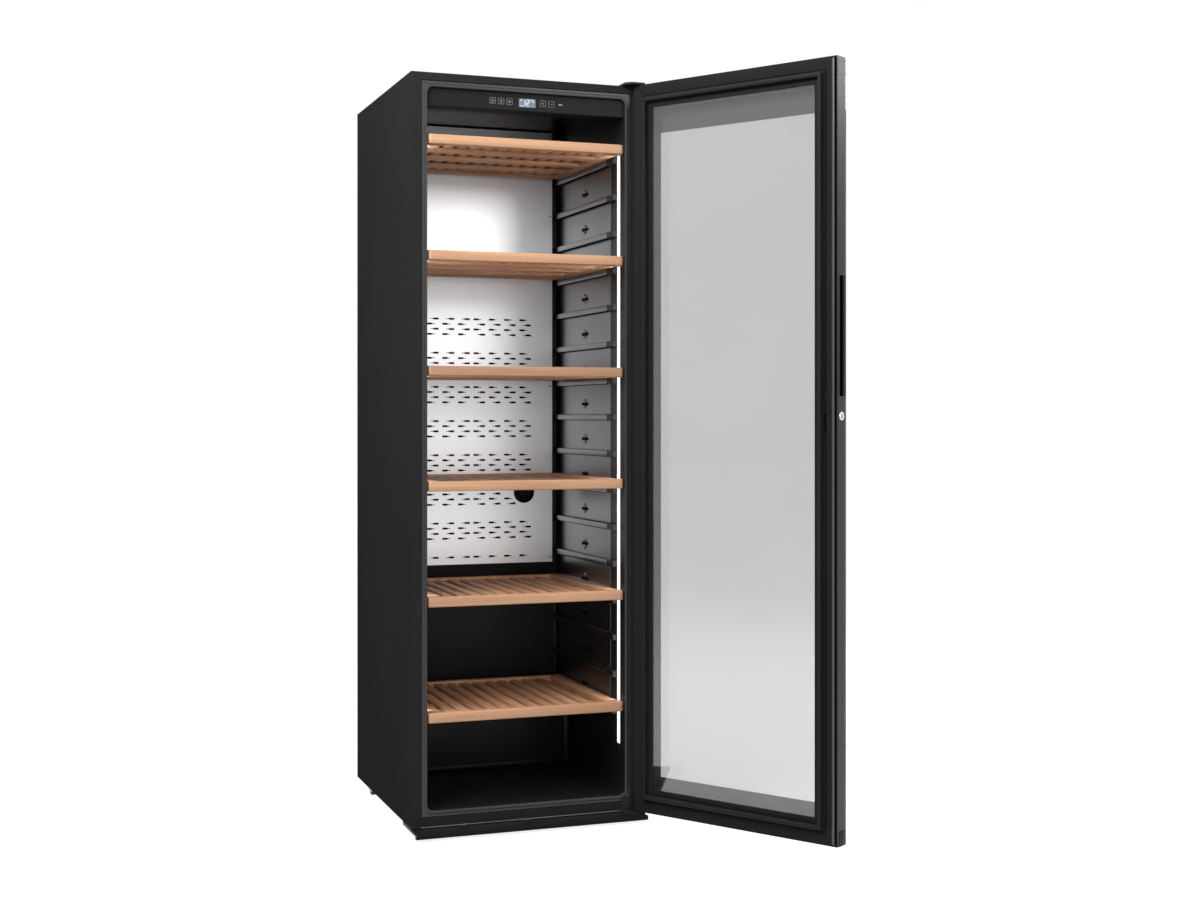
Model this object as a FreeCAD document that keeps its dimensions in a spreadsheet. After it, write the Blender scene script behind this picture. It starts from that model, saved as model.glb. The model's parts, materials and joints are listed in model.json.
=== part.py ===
"""A tall wine cooler with a glass door that stands open and six pull-out wooden shelves.

Millimetres. X is the width with the hinges on +X, Y is the depth with the front on -Y, and Z is up.
The origin is on the floor under the middle of the cabinet.
"""
import FreeCAD
import Part
import Sketcher

import math
import os
import re

SIZES = {
    "cabinet_width": 595, "cabinet_depth": 638, "panel_height": 1838, "underside_height": 22,
    "sheet_thickness": 1, "frame_width": 16, "frame_depth": 8, "frame_corner_radius": 15,
    "side_wall": 41, "top_wall": 35, "floor_wall": 40, "back_wall": 93, "liner_thickness": 3,
    "bay_depth": 165, "hump_height": 235, "hump_wall": 33, "pan_thickness": 2, "plate_standoff": 18,
    "plate_thickness": 1.2, "plate_side_gap": 21.5, "plate_bottom": 590, "plate_head_gap": 4,
    "fan_offset": 152, "fan_height": 809, "fan_bore_radius": 30, "fan_frame_size": 74,
    "fan_tip_gap": 1.5, "fan_hub_radius": 12, "fan_pin_radius": 2, "fan_blade_thickness": 1.2,
    "spider_width": 8, "spider_thickness": 3, "evaporator_width": 220, "evaporator_bottom": 700,
    "evaporator_head_gap": 103, "evaporator_standoff": 10, "evaporator_thickness": 3, "evaporator_strip": 20,
    "rail_start": 104, "rail_height": 15, "rail_proud": 12, "rail_pitch": 94.2, "rail_panel_thickness": 1,
    "rail_block_start": 57, "rail_panel_head": 20, "rail_panel_foot": 2, "shelf_side_gap": 0.5,
    "shelf_front_gap": 1, "shelf_back_gap": 26, "shelf_height": 24, "shelf_rail_width": 30,
    "bar_thickness": 20, "batten_width": 40, "batten_height": 8, "slat_width": 22, "slat_height": 10,
    "runner_width": 10, "runner_thickness": 1.5, "fascia_height": 43, "fascia_setback": 10,
    "fascia_thickness": 3, "fascia_return": 60, "display_width": 45, "display_height": 26, "display_depth": 8,
    "display_drop": 22, "fit_clearance": 0.3, "led_setback": 46, "led_width": 17, "led_thickness": 3,
    "led_recess": 2.2, "led_bottom": 148, "led_head_gap": 95, "led_tip": 14,
    "plinth_front": 57, "plinth_back": 87, "plinth_thickness": 8, "plinth_lip_height": 15,
    "plinth_lip_depth": 14, "plinth_step": 3, "plinth_round": 6,
    "foot_inset": 45, "foot_setback": 50, "foot_pad_radius": 16, "foot_pad_height": 10, "foot_stud_radius": 5,
    "foot_nut_radius": 9, "foot_nut_height": 6, "foot_stud_gap": 1, "foot_stud_height": 40,
    "roller_radius": 20, "roller_width": 22, "roller_inset": 8, "roller_bay_gap": 25, "axle_radius": 4,
    "running_clearance": 0.05, "roller_side_gap": 0.5, "cheek_thickness": 2, "cheek_width": 34,
    "cheek_bottom": 12, "cheek_roof": 46, "well_gap": 2,
    "door_bottom_gap": 2, "door_top_gap": 1, "door_thickness": 41, "gasket_gap": 15,
    "gasket_clearance": 0.3, "gasket_inset": 36, "gasket_width": 10, "hinge_inset": 12, "hinge_depth": 7,
    "hinge_pin_radius": 3, "hinge_pin_gap": 2, "bush_cover": 0.5, "bush_length": 20, "door_stop_gap": 0.5,
    "stile_width": 55, "spacer_width": 5.7, "outer_glass_thickness": 4, "inner_glass_thickness": 4,
    "trim_thickness": 1.5,
    "handle_bottom": 1047, "handle_length": 282, "handle_width": 20, "handle_depth": 18, "grip_wall": 1.5,
    "lock_height": 1001, "lock_radius": 10, "lock_barrel_radius": 6.5, "lock_length": 30, "lock_proud": 1.5,
    "cam_bite": 2.5, "cam_width": 9, "cam_thickness": 3, "cam_slot_gap": 1,
    "keyway_depth": 4, "keyway_length": 8, "keyway_width": 1.6,
    "hinge_plate_thickness": 5, "hinge_plate_width": 51, "hinge_plate_back": 70, "hinge_plate_front": 36,
    "hinge_plate_chamfer": 14, "hinge_tab_clearance": 2, "hinge_tab_thickness": 2, "hinge_tab_gap": 20,
    "hinge_boss_radius": 6, "compressor_radius": 70, "compressor_height": 140, "compressor_offset": 130,
    "compressor_foot": 10, "compressor_round": 30, "condenser_width": 200, "condenser_height": 150,
    "condenser_depth": 90, "condenser_offset": 130, "condenser_feet": 8,
    "grille_slot_width": 180, "grille_slot_height": 5, "grille_slot_pitch": 14, "grille_margin": 40,
    "gland_radius": 9, "gland_bore_radius": 4, "gland_inset": 30, "gland_height": 60, "gland_proud": 4,
}
RAILS_PER_SHELF = 3
SLAT_COUNT = 11
BATTEN_COUNT = 3
BLADE_COUNT = 7


def room(whole, *taken):
    """What is left of one size when others are taken out of it."""
    return SIZES[whole] - sum(SIZES[name] for name in taken)


# As many rails as fit between the step and the fascia, with a shelf on every third one.
ABOVE_RAILS = ("top_wall", "fascia_height", "shelf_height")
BELOW_RAILS = ("hump_height", "rail_panel_foot", "rail_height")
RAIL_ROOM = room("panel_height", *ABOVE_RAILS, *BELOW_RAILS)
RAIL_COUNT = int(RAIL_ROOM // SIZES["rail_pitch"]) + 1
SHELF_COUNT = (RAIL_COUNT - 1) // RAILS_PER_SHELF + 1
# As many slots as fit in the machine bay's cover.
SLOT_ROOM = room("hump_height", "hump_wall", "pan_thickness", "grille_margin", "grille_slot_pitch")
GRILLE_SLOT_COUNT = int(SLOT_ROOM // SIZES["grille_slot_pitch"])

# Places worked out from the sizes. Each is a formula that the document evaluates.
FRONT = "(-cabinet_depth / 2)"
BACK = "(cabinet_depth / 2)"
SIDE = "(cabinet_width / 2)"
FLOOR = "underside_height"
TOP = f"({FLOOR} + panel_height)"
INNER_SIDE = f"({SIDE} - side_wall)"
FLANGE_SIDE = f"({INNER_SIDE} + frame_width)"
INNER_FLOOR = f"({FLOOR} + floor_wall)"
INNER_TOP = f"({TOP} - top_wall)"
LINER_FRONT = f"({FRONT} + frame_depth)"
LINER_BACK = f"({BACK} - back_wall)"
BAY_FRONT = f"({BACK} - bay_depth)"
BAY_MIDDLE = f"({BACK} - bay_depth / 2)"
HUMP_FRONT = f"({BAY_FRONT} - hump_wall)"
HUMP_TOP = f"({FLOOR} + hump_height)"
BAY_TOP = f"({HUMP_TOP} - hump_wall)"
PAN_TOP = f"({FLOOR} + pan_thickness)"
PLATE_FRONT = f"({LINER_BACK} - plate_standoff)"
PLATE_BACK = f"({PLATE_FRONT} + plate_thickness)"
FIRST_RAIL = f"({HUMP_TOP} + rail_panel_foot + rail_height)"
RUNNER_SIDE = f"({INNER_SIDE} - rail_panel_thickness - shelf_side_gap)"
SHELF_SIDE = f"({RUNNER_SIDE} - runner_width)"
SHELF_FRONT = f"({FRONT} + shelf_front_gap)"
SHELF_BACK = f"({PLATE_FRONT} - shelf_back_gap)"
HINGE_X = f"({SIDE} - hinge_inset)"
HINGE_SETBACK = "(gasket_gap + hinge_depth)"
HINGE_Y = f"({FRONT} - {HINGE_SETBACK})"
# The open door stops where the edge beside its hinge meets the cabinet's corner.
OPEN_ANGLE = (
    f"(atan2({HINGE_SETBACK}; hinge_inset)"
    f" + acos((hinge_inset + door_stop_gap) / hypot(hinge_inset; {HINGE_SETBACK})))"
)
# The door is drawn shut, from an origin on its hinge axis.
DOOR_HINGE_EDGE = "hinge_inset"
DOOR_FREE_EDGE = "(hinge_inset - cabinet_width)"
DOOR_INSIDE = "hinge_depth"
DOOR_OUTSIDE = f"({DOOR_INSIDE} - door_thickness)"
DOOR_BOTTOM = f"({FLOOR} + door_bottom_gap)"
DOOR_TOP = f"({TOP} - door_top_gap)"
DOOR_CORE = f"({DOOR_OUTSIDE} + outer_glass_thickness)"
DOOR_LINING = f"({DOOR_INSIDE} - trim_thickness)"
DOOR_MIDDLE = f"({DOOR_INSIDE} - door_thickness / 2)"
HANDLE_BOTTOM = f"({FLOOR} + handle_bottom)"
LOCK_Z = f"({FLOOR} + lock_height)"
CAM_REACH = f"({HINGE_SETBACK} - {DOOR_MIDDLE} + cam_bite)"
BUSH_RADIUS = "(hinge_depth - trim_thickness - bush_cover)"
PIN_REACH = "(bush_length - hinge_pin_gap)"
GLASS_BORDER = "(stile_width + fit_clearance + spacer_width)"

V = FreeCAD.Vector
doc = FreeCAD.newDocument("WineCooler")
nodes = []


def make_sheet():
    """Write every driving size to the spreadsheet under its own name."""
    sheet = doc.addObject("Spreadsheet::Sheet", "Sizes")
    for row, (name, value) in enumerate(SIZES.items(), start=1):
        sheet.set(f"A{row}", name)
        sheet.set(f"B{row}", str(value))
        sheet.setAlias(f"B{row}", name)
    doc.recompute()


def bind(obj, prop, text):
    """Tie a property to a formula of size names. Every size name holds an underscore."""
    obj.setExpression(prop, re.sub(r"[a-z]+(?:_[a-z]+)+", r"Sizes.\g<0>", str(text)))


def place(obj, x, y, z):
    """Tie an object's position to three formulas."""
    bind(obj, "Placement.Base.x", x)
    bind(obj, "Placement.Base.y", y)
    bind(obj, "Placement.Base.z", z)


def keep(obj, name):
    """Make an object one of the cooler's own pieces, under the name of its node."""
    obj.Label = name
    nodes.append(obj)
    return obj


def hang(obj, name):
    """Keep a piece that was drawn on the shut door, turned with it about the hinge axis."""
    obj.Placement.Rotation = FreeCAD.Rotation(V(0, 0, 1), 1)
    place(obj, HINGE_X, HINGE_Y, "0")
    bind(obj, "Placement.Rotation.Angle", OPEN_ANGLE)
    return keep(obj, name)


def block(x, y, z):
    """A box between two formulas along each axis."""
    box = doc.addObject("Part::Box", "Block")
    place(box, x[0], y[0], z[0])
    for prop, (low, high) in (("Length", x), ("Width", y), ("Height", z)):
        bind(box, prop, f"({high}) - ({low})")
    return box


def rod(axis, centre, radius, start, end):
    """A cylinder along X, Y or Z. The centre gives its other two coordinates, in order."""
    cylinder = doc.addObject("Part::Cylinder", "Rod")
    bind(cylinder, "Radius", radius)
    bind(cylinder, "Height", f"({end}) - ({start})")
    if axis == "X":
        cylinder.Placement.Rotation = FreeCAD.Rotation(V(0, 1, 0), 90)
        place(cylinder, start, *centre)
    elif axis == "Y":
        cylinder.Placement.Rotation = FreeCAD.Rotation(V(1, 0, 0), -90)
        place(cylinder, centre[0], start, centre[1])
    else:
        place(cylinder, *centre, start)
    return cylinder


def prism(plane, outline, start, end):
    """A padded closed outline. Its points are pairs of formulas in the plane's own two axes."""
    body = doc.addObject("PartDesign::Body", "Profile")
    sketch = body.newObject("Sketcher::SketchObject", "Outline")
    origin_plane = next(f for f in body.Origin.OriginFeatures if f.Role == f"{plane}_Plane")
    sketch.AttachmentSupport = [(origin_plane, "")]
    sketch.MapMode = "FlatFace"
    count = len(outline)
    # The lines start round a circle, and the constraints pull each corner to its place.
    turns = [2 * math.pi * i / count for i in range(count + 1)]
    corners = [V(math.cos(turn), math.sin(turn), 0) for turn in turns]
    for i in range(count):
        sketch.addGeometry(Part.LineSegment(corners[i], corners[i + 1]))
    for i in range(count):
        sketch.addConstraint(Sketcher.Constraint("Coincident", i, 2, (i + 1) % count, 1))
    for i, corner in enumerate(outline):
        for kind, formula in zip(("DistanceX", "DistanceY"), corner):
            index = sketch.addConstraint(Sketcher.Constraint(kind, -1, 1, i, 1, 1.0))
            bind(sketch, f"Constraints[{index}]", formula)
    pad = body.newObject("PartDesign::Pad", "Pad")
    pad.Profile = sketch
    bind(pad, "Length", f"({end}) - ({start})")
    # The XZ plane faces -Y, so its sketches are offset backwards and padded in reverse.
    pad.Reversed = plane == "XZ"
    bind(sketch, "AttachmentOffset.Base.z", f"-({start})" if plane == "XZ" else start)
    return body


def round_edges(body, radius, along):
    """Round every edge of a padded body that runs along one direction."""
    doc.recompute()
    pad = body.Tip
    names = [
        f"Edge{i}"
        for i, edge in enumerate(pad.Shape.Edges, start=1)
        if abs(edge.tangentAt(edge.FirstParameter).dot(along)) > 0.99
    ]
    fillet = body.newObject("PartDesign::Fillet", "Round")
    fillet.Base = (pad, names)
    bind(fillet, "Radius", radius)


def fuse(*parts):
    """One solid made of several that touch or overlap."""
    joined = doc.addObject("Part::MultiFuse", "Joined")
    joined.Shapes = list(parts)
    joined.Refine = True
    return joined


def group(*parts):
    """Solids that stay separate but belong to one node."""
    together = doc.addObject("Part::Compound", "Together")
    together.Links = list(parts)
    return together


def wrap(solid):
    """One drawn solid in a holder of its own, so that the holder can be turned with the door."""
    return group(solid)


def cut(base, *tools):
    """A solid with one or more others taken out of it."""
    result = doc.addObject("Part::Cut", "Cut")
    result.Base = base
    result.Tool = tools[0] if len(tools) == 1 else group(*tools)
    return result


def sides(text):
    """A pair of formulas, for the left and the right of the middle."""
    return (f"-({text})", text)


def both_sides(low, high):
    """The left and the right span between two distances from the middle."""
    return ((f"-({high})", f"-({low})"), (low, high))


def inset(span, margin):
    """A span shortened at both ends by a margin."""
    return (f"{span[0]} + ({margin})", f"{span[1]} - ({margin})")


def make_outer_shell():
    """The steel skin: sides and top with front flanges, the back, the pan and the front rail."""
    panel_top = f"{TOP} - sheet_thickness"
    for name, sign in (("left", "-"), ("right", "")):
        outline = [
            (f"{sign}{SIDE}", FRONT),
            (f"{sign}{FLANGE_SIDE}", FRONT),
            (f"{sign}{FLANGE_SIDE}", f"{FRONT} + sheet_thickness"),
            (f"{sign}({SIDE} - sheet_thickness)", f"{FRONT} + sheet_thickness"),
            (f"{sign}({SIDE} - sheet_thickness)", BACK),
            (f"{sign}{SIDE}", BACK),
        ]
        keep(prism("XY", outline, FLOOR, panel_top), f"{name}_side_panel")
    between_flanges = sides(FLANGE_SIDE)
    sheet = block(sides(SIDE), (FRONT, BACK), (panel_top, TOP))
    lip_bottom = f"{INNER_TOP} + frame_width"
    lip = block(between_flanges, (FRONT, f"{FRONT} + sheet_thickness"), (lip_bottom, panel_top))
    keep(fuse(sheet, lip), "top_panel")
    between_sides = sides(f"{SIDE} - sheet_thickness")
    back_sheet = (f"{BACK} - sheet_thickness", BACK)
    keep(block(between_sides, back_sheet, (BAY_TOP, panel_top)), "rear_panel")
    rail_outline = [
        (FRONT, PAN_TOP),
        (LINER_FRONT, PAN_TOP),
        (LINER_FRONT, f"{PAN_TOP} + sheet_thickness"),
        (f"{FRONT} + sheet_thickness", f"{PAN_TOP} + sheet_thickness"),
        (f"{FRONT} + sheet_thickness", f"{INNER_FLOOR} - frame_width - sheet_thickness"),
        (LINER_FRONT, f"{INNER_FLOOR} - frame_width - sheet_thickness"),
        (LINER_FRONT, f"{INNER_FLOOR} - frame_width"),
        (FRONT, f"{INNER_FLOOR} - frame_width"),
    ]
    rail = prism("YZ", rail_outline, *between_flanges)
    keep(rail, "bottom_front_rail")


ROLLER_Y = f"({BAY_FRONT} + roller_bay_gap)"
ROLLER_INNER = f"({SIDE} - roller_inset - roller_width)"
ROLLER_OUTER = f"({SIDE} - roller_inset)"
WELL_INNER = f"({ROLLER_INNER} - roller_side_gap - cheek_thickness)"
WELL_OUTER = f"({ROLLER_OUTER} + roller_side_gap + cheek_thickness)"
FOOT_X = f"({SIDE} - foot_inset)"
FOOT_Y = f"({FRONT} + foot_setback)"


def make_base():
    """The pan under the cabinet with its roller wells, feet, roller forks and plinth."""
    pan = block(sides(f"{SIDE} - sheet_thickness"), (f"{FRONT} + sheet_thickness", BACK), (FLOOR, PAN_TOP))
    well_y = (f"{ROLLER_Y} - roller_radius - well_gap", f"{ROLLER_Y} + roller_radius + well_gap")
    cheek_y = (f"{ROLLER_Y} - cheek_width / 2", f"{ROLLER_Y} + cheek_width / 2")
    holes = [block(x, well_y, (FLOOR, PAN_TOP)) for x in both_sides(WELL_INNER, WELL_OUTER)]
    for x in sides(FOOT_X):
        holes.append(rod("Z", (x, FOOT_Y), "foot_stud_radius + fit_clearance", FLOOR, PAN_TOP))
    keep(cut(pan, *holes), "base_pan")

    forks = []
    legs = ("cheek_bottom", "cheek_roof")
    for index in (0, 1):
        inner_cheek = both_sides(WELL_INNER, f"{WELL_INNER} + cheek_thickness")[index]
        outer_cheek = both_sides(f"{WELL_OUTER} - cheek_thickness", WELL_OUTER)[index]
        across = both_sides(WELL_INNER, WELL_OUTER)[index]
        forks.append(
            fuse(
                block(inner_cheek, cheek_y, legs),
                block(outer_cheek, cheek_y, legs),
                block(across, cheek_y, ("cheek_roof", "cheek_roof + cheek_thickness")),
                rod("X", (ROLLER_Y, "roller_radius"), "axle_radius", *across),
            )
        )
    keep(group(*forks), "roller_forks")
    for name, x in zip(("left", "right"), both_sides(ROLLER_INNER, ROLLER_OUTER)):
        centre = (ROLLER_Y, "roller_radius")
        wheel = rod("X", centre, "roller_radius", *x)
        bore = rod("X", centre, "axle_radius + running_clearance", *x)
        keep(cut(wheel, bore), f"{name}_rear_roller")

    feet = []
    for x in sides(FOOT_X):
        pad = rod("Z", (x, FOOT_Y), "foot_pad_radius", "0", "foot_pad_height")
        stud = rod("Z", (x, FOOT_Y), "foot_stud_radius", "0", "foot_stud_height")
        nut = rod("Z", (x, FOOT_Y), "foot_nut_radius", PAN_TOP, f"{PAN_TOP} + foot_nut_height")
        feet.append(fuse(pad, stud, nut))
    keep(group(*feet), "levelling_feet")

    lip_bottom = f"({FLOOR} - plinth_lip_height)"
    lip_front = f"({FRONT} - plinth_front)"
    outline = [
        (f"{lip_front} + plinth_round", lip_bottom),
        (f"{lip_front} + plinth_lip_depth", lip_bottom),
        (f"{lip_front} + plinth_lip_depth", f"{FLOOR} - plinth_thickness"),
        (f"{FRONT} + plinth_back", f"{FLOOR} - plinth_thickness"),
        (f"{FRONT} + plinth_back", FLOOR),
        (FRONT, FLOOR),
        (FRONT, f"{FLOOR} - plinth_step"),
        (lip_front, f"{FLOOR} - plinth_step"),
        (lip_front, f"{lip_bottom} + plinth_round"),
    ]
    tray = prism("YZ", outline, f"-{SIDE}", SIDE)
    holes = [
        rod("Z", (x, FOOT_Y), "foot_stud_radius + foot_stud_gap", "0", FLOOR) for x in sides(FOOT_X)
    ]
    keep(cut(tray, *holes), "plinth")


def make_front_frame():
    """The rounded plastic rim round the opening, with the slot that the lock's cam drops into."""
    outer_x = sides(f"{INNER_SIDE} + frame_width")
    outer_z = (f"{INNER_FLOOR} - frame_width", f"{INNER_TOP} + frame_width")
    depth = (FRONT, LINER_FRONT)
    left, right = sides(INNER_SIDE)
    corners = [(left, INNER_FLOOR), (right, INNER_FLOOR), (right, INNER_TOP), (left, INNER_TOP)]
    opening = prism("XZ", corners, *depth)
    round_edges(opening, "frame_corner_radius", V(0, 1, 0))
    cam_x = (f"{CAM_X[0]} + {HINGE_X} - cam_slot_gap", f"{CAM_X[1]} + {HINGE_X} + cam_slot_gap")
    slot = block(cam_x, depth, (f"{LOCK_Z} - cam_width", f"{LOCK_Z} + cam_width"))
    keep(cut(block(outer_x, depth, outer_z), opening, slot), "front_frame")


def make_liner():
    """The plastic cavity: walls with bosses for the rails, floor, step over the machine bay, back."""
    outer = f"({INNER_SIDE} + liner_thickness)"
    low = f"({INNER_FLOOR} - liner_thickness)"
    high = f"({INNER_TOP} + liner_thickness)"
    back = f"({LINER_BACK} + liner_thickness)"
    step_back = f"({HUMP_FRONT} + liner_thickness)"
    step_under = f"({HUMP_TOP} - liner_thickness)"
    wall_outline = [
        (LINER_FRONT, low),
        (step_back, low),
        (step_back, step_under),
        (back, step_under),
        (back, high),
        (LINER_FRONT, high),
    ]
    for name, index in (("left", 0), ("right", 1)):
        wall = prism("YZ", wall_outline, *both_sides(INNER_SIDE, outer)[index])
        boss_x = both_sides(f"{INNER_SIDE} - rail_proud", INNER_SIDE)[index]
        boss_y = (f"{FRONT} + rail_block_start", f"{FRONT} + rail_start")
        bosses = [block(boss_x, boss_y, z) for z in rail_spans()]
        keep(cut(fuse(wall, *bosses), led_bar(index)), f"liner_{name}_wall")
    inside = sides(INNER_SIDE)
    keep(block(inside, (LINER_FRONT, back), (INNER_TOP, high)), "liner_ceiling")
    keep(block(inside, (LINER_FRONT, HUMP_FRONT), (low, INNER_FLOOR)), "liner_floor")
    step = [
        (HUMP_FRONT, low),
        (step_back, low),
        (step_back, step_under),
        (LINER_BACK, step_under),
        (LINER_BACK, HUMP_TOP),
        (HUMP_FRONT, HUMP_TOP),
    ]
    keep(prism("YZ", step, f"-{INNER_SIDE}", INNER_SIDE), "liner_step")
    back_z = (step_under, INNER_TOP)
    keep(block(inside, (LINER_BACK, back), back_z), "liner_back_wall")

    foam_x = sides(f"{SIDE} - sheet_thickness")
    foam = block(foam_x, (LINER_FRONT, f"{BACK} - sheet_thickness"), (PAN_TOP, f"{TOP} - sheet_thickness"))
    cavity = block(sides(outer), (LINER_FRONT, back), (step_under, high))
    lower = block(sides(outer), (LINER_FRONT, step_back), (low, HUMP_TOP))
    bay = block(foam_x, (BAY_FRONT, BACK), (PAN_TOP, BAY_TOP))
    stud_room = [
        rod("Z", (x, FOOT_Y), "foot_nut_radius", PAN_TOP, "foot_stud_height") for x in sides(FOOT_X)
    ]
    keep(cut(foam, cavity, lower, bay, *stud_room), "insulation")


def rail_spans():
    """The bottom and top of every rail, from the lowest to the highest."""
    spans = []
    for i in range(RAIL_COUNT):
        top = f"({FIRST_RAIL} + {i} * rail_pitch)"
        spans.append((f"{top} - rail_height", top))
    return spans


def make_rails():
    """A metal panel on each wall with the rails that the shelves run on."""
    spans = rail_spans()
    panel_z = (HUMP_TOP, f"{spans[-1][1]} + rail_panel_head")
    along = (f"{FRONT} + rail_start", PLATE_FRONT)
    for name, index in (("left", 0), ("right", 1)):
        skin = block(both_sides(f"{INNER_SIDE} - rail_panel_thickness", INNER_SIDE)[index], along, panel_z)
        rail_x = both_sides(f"{INNER_SIDE} - rail_proud", INNER_SIDE)[index]
        rails = [block(rail_x, along, z) for z in spans]
        keep(fuse(skin, *rails), f"{name}_rail_panel")


def make_cold_wall():
    """The metal back plate with its fan opening, and the fan and evaporator behind it."""
    plate_z = (f"{FLOOR} + plate_bottom", f"{INNER_TOP} - plate_head_gap")
    plate = block(sides(f"{INNER_SIDE} - plate_side_gap"), (PLATE_FRONT, PLATE_BACK), plate_z)
    fan_centre = ("fan_offset", "fan_height")
    keep(cut(plate, rod("Y", fan_centre, "fan_bore_radius", PLATE_FRONT, PLATE_BACK)), "back_plate")

    fan_back = LINER_BACK
    square_x = ("fan_offset - fan_frame_size / 2", "fan_offset + fan_frame_size / 2")
    square_z = ("fan_height - fan_frame_size / 2", "fan_height + fan_frame_size / 2")
    case = block(square_x, (PLATE_BACK, fan_back), square_z)
    throat = rod("Y", fan_centre, "fan_bore_radius", PLATE_BACK, fan_back)
    spider_y = (f"{fan_back} - spider_thickness", fan_back)
    arm = block(square_x, spider_y, ("fan_height - spider_width / 2", "fan_height + spider_width / 2"))
    pin = rod("Y", fan_centre, "fan_pin_radius", f"{PLATE_BACK} + spider_thickness", fan_back)
    keep(fuse(cut(case, throat), arm, pin), "fan_frame")

    hub_y = (f"{PLATE_BACK} + spider_thickness / 2", f"{fan_back} - spider_thickness - fit_clearance")
    hub = rod("Y", fan_centre, "fan_hub_radius", *hub_y)
    blade_span = "(fan_bore_radius - fan_tip_gap - fan_hub_radius / 2)"
    blade_chord = f"(({hub_y[1]}) - ({hub_y[0]}))"
    blades = []
    for i in range(BLADE_COUNT):
        blade = doc.addObject("Part::Box", "Blade")
        bind(blade, "Length", blade_span)
        bind(blade, "Width", blade_chord)
        bind(blade, "Height", "fan_blade_thickness")
        spin = 360 * i / BLADE_COUNT
        blade.Placement.Rotation = FreeCAD.Rotation(V(0, 1, 0), spin)
        reach = "(fan_hub_radius / 2)"
        x = f"fan_offset + {reach} * cos({spin})"
        z = f"fan_height - {reach} * sin({spin})"
        place(blade, x, hub_y[0], z)
        blades.append(blade)
    bore = rod("Y", fan_centre, "fan_pin_radius + running_clearance", *hub_y)
    keep(cut(fuse(hub, *blades), bore), "circulation_fan")

    sheet_z = (f"{FLOOR} + evaporator_bottom", f"{INNER_TOP} - evaporator_head_gap")
    sheet_front = f"({LINER_BACK} - evaporator_standoff)"
    sheet_y = (sheet_front, f"{sheet_front} + evaporator_thickness")
    sheet = block(("-evaporator_width", "0"), sheet_y, sheet_z)
    strips = [
        block((x, f"{x} + evaporator_strip"), (sheet_y[1], LINER_BACK), sheet_z)
        for x in ("-evaporator_width", "-evaporator_strip")
    ]
    keep(fuse(sheet, *strips), "evaporator")


def make_controls():
    """The control fascia under the ceiling with its display, and the lights in the side walls."""
    low = f"({INNER_TOP} - fascia_height)"
    front = f"({FRONT} + fascia_setback)"
    outline = [
        (front, low),
        (f"{front} + fascia_return", low),
        (f"{front} + fascia_return", f"{low} + fascia_thickness"),
        (f"{front} + fascia_thickness", f"{low} + fascia_thickness"),
        (f"{front} + fascia_thickness", INNER_TOP),
        (front, INNER_TOP),
    ]
    panel = prism("YZ", outline, f"-{INNER_SIDE}", INNER_SIDE)
    centre = f"({INNER_TOP} - display_drop)"
    window_x = sides("display_width / 2 + fit_clearance")
    window_z = (
        f"{centre} - display_height / 2 - fit_clearance",
        f"{centre} + display_height / 2 + fit_clearance",
    )
    window = block(window_x, (front, f"{front} + fascia_thickness"), window_z)
    keep(cut(panel, window), "control_fascia")
    display_z = (f"{centre} - display_height / 2", f"{centre} + display_height / 2")
    display = block(sides("display_width / 2"), (front, f"{front} + display_depth"), display_z)
    keep(display, "display_module")
    keep(group(*[led_bar(index) for index in (0, 1)]), "light_strips")


def led_bar(index):
    """One upright light with pointed ends, let into the left (0) or the right (1) wall."""
    middle = f"({FRONT} + led_setback)"
    low = f"({FLOOR} + led_bottom)"
    high = f"({INNER_TOP} - led_head_gap)"
    outline = [
        (middle, low),
        (f"{middle} + led_width / 2", f"{low} + led_tip"),
        (f"{middle} + led_width / 2", f"{high} - led_tip"),
        (middle, high),
        (f"{middle} - led_width / 2", f"{high} - led_tip"),
        (f"{middle} - led_width / 2", f"{low} + led_tip"),
    ]
    span = both_sides(f"({INNER_SIDE} - led_thickness + led_recess)", f"({INNER_SIDE} + led_recess)")[index]
    return prism("YZ", outline, *span)


def make_hinges():
    """The two brackets that carry the door, each with its pin."""
    plate_x = (f"{SIDE} - hinge_plate_width", SIDE)
    front = f"({FRONT} - hinge_plate_front)"
    outline = [
        (f"{plate_x[0]} + hinge_plate_chamfer", front),
        (SIDE, front),
        (SIDE, f"{FRONT} + hinge_plate_back"),
        (plate_x[0], f"{FRONT} + hinge_plate_back"),
        (plate_x[0], f"{front} + hinge_plate_chamfer"),
    ]
    plate = prism("XY", outline, TOP, f"{TOP} + hinge_plate_thickness")
    axis = (HINGE_X, HINGE_Y)
    pin = rod("Z", axis, "hinge_pin_radius", f"{DOOR_TOP} - {PIN_REACH}", TOP)
    keep(fuse(plate, pin), "top_hinge_bracket")

    shelf_bottom = f"({FLOOR} - plinth_step)"
    plate = block(plate_x, (front, FRONT), (shelf_bottom, FLOOR))
    tab_x = (plate_x[0], f"{SIDE} - hinge_tab_gap")
    tab_z = (shelf_bottom, f"{DOOR_BOTTOM} + gasket_inset - hinge_tab_clearance")
    tab = block(tab_x, (f"{FRONT} - hinge_tab_thickness", FRONT), tab_z)
    boss = rod("Z", axis, "hinge_boss_radius", FLOOR, f"{DOOR_BOTTOM} - fit_clearance")
    pin = rod("Z", axis, "hinge_pin_radius", FLOOR, f"{DOOR_BOTTOM} + {PIN_REACH}")
    keep(fuse(plate, tab, boss, pin), "bottom_hinge_bracket")


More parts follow.
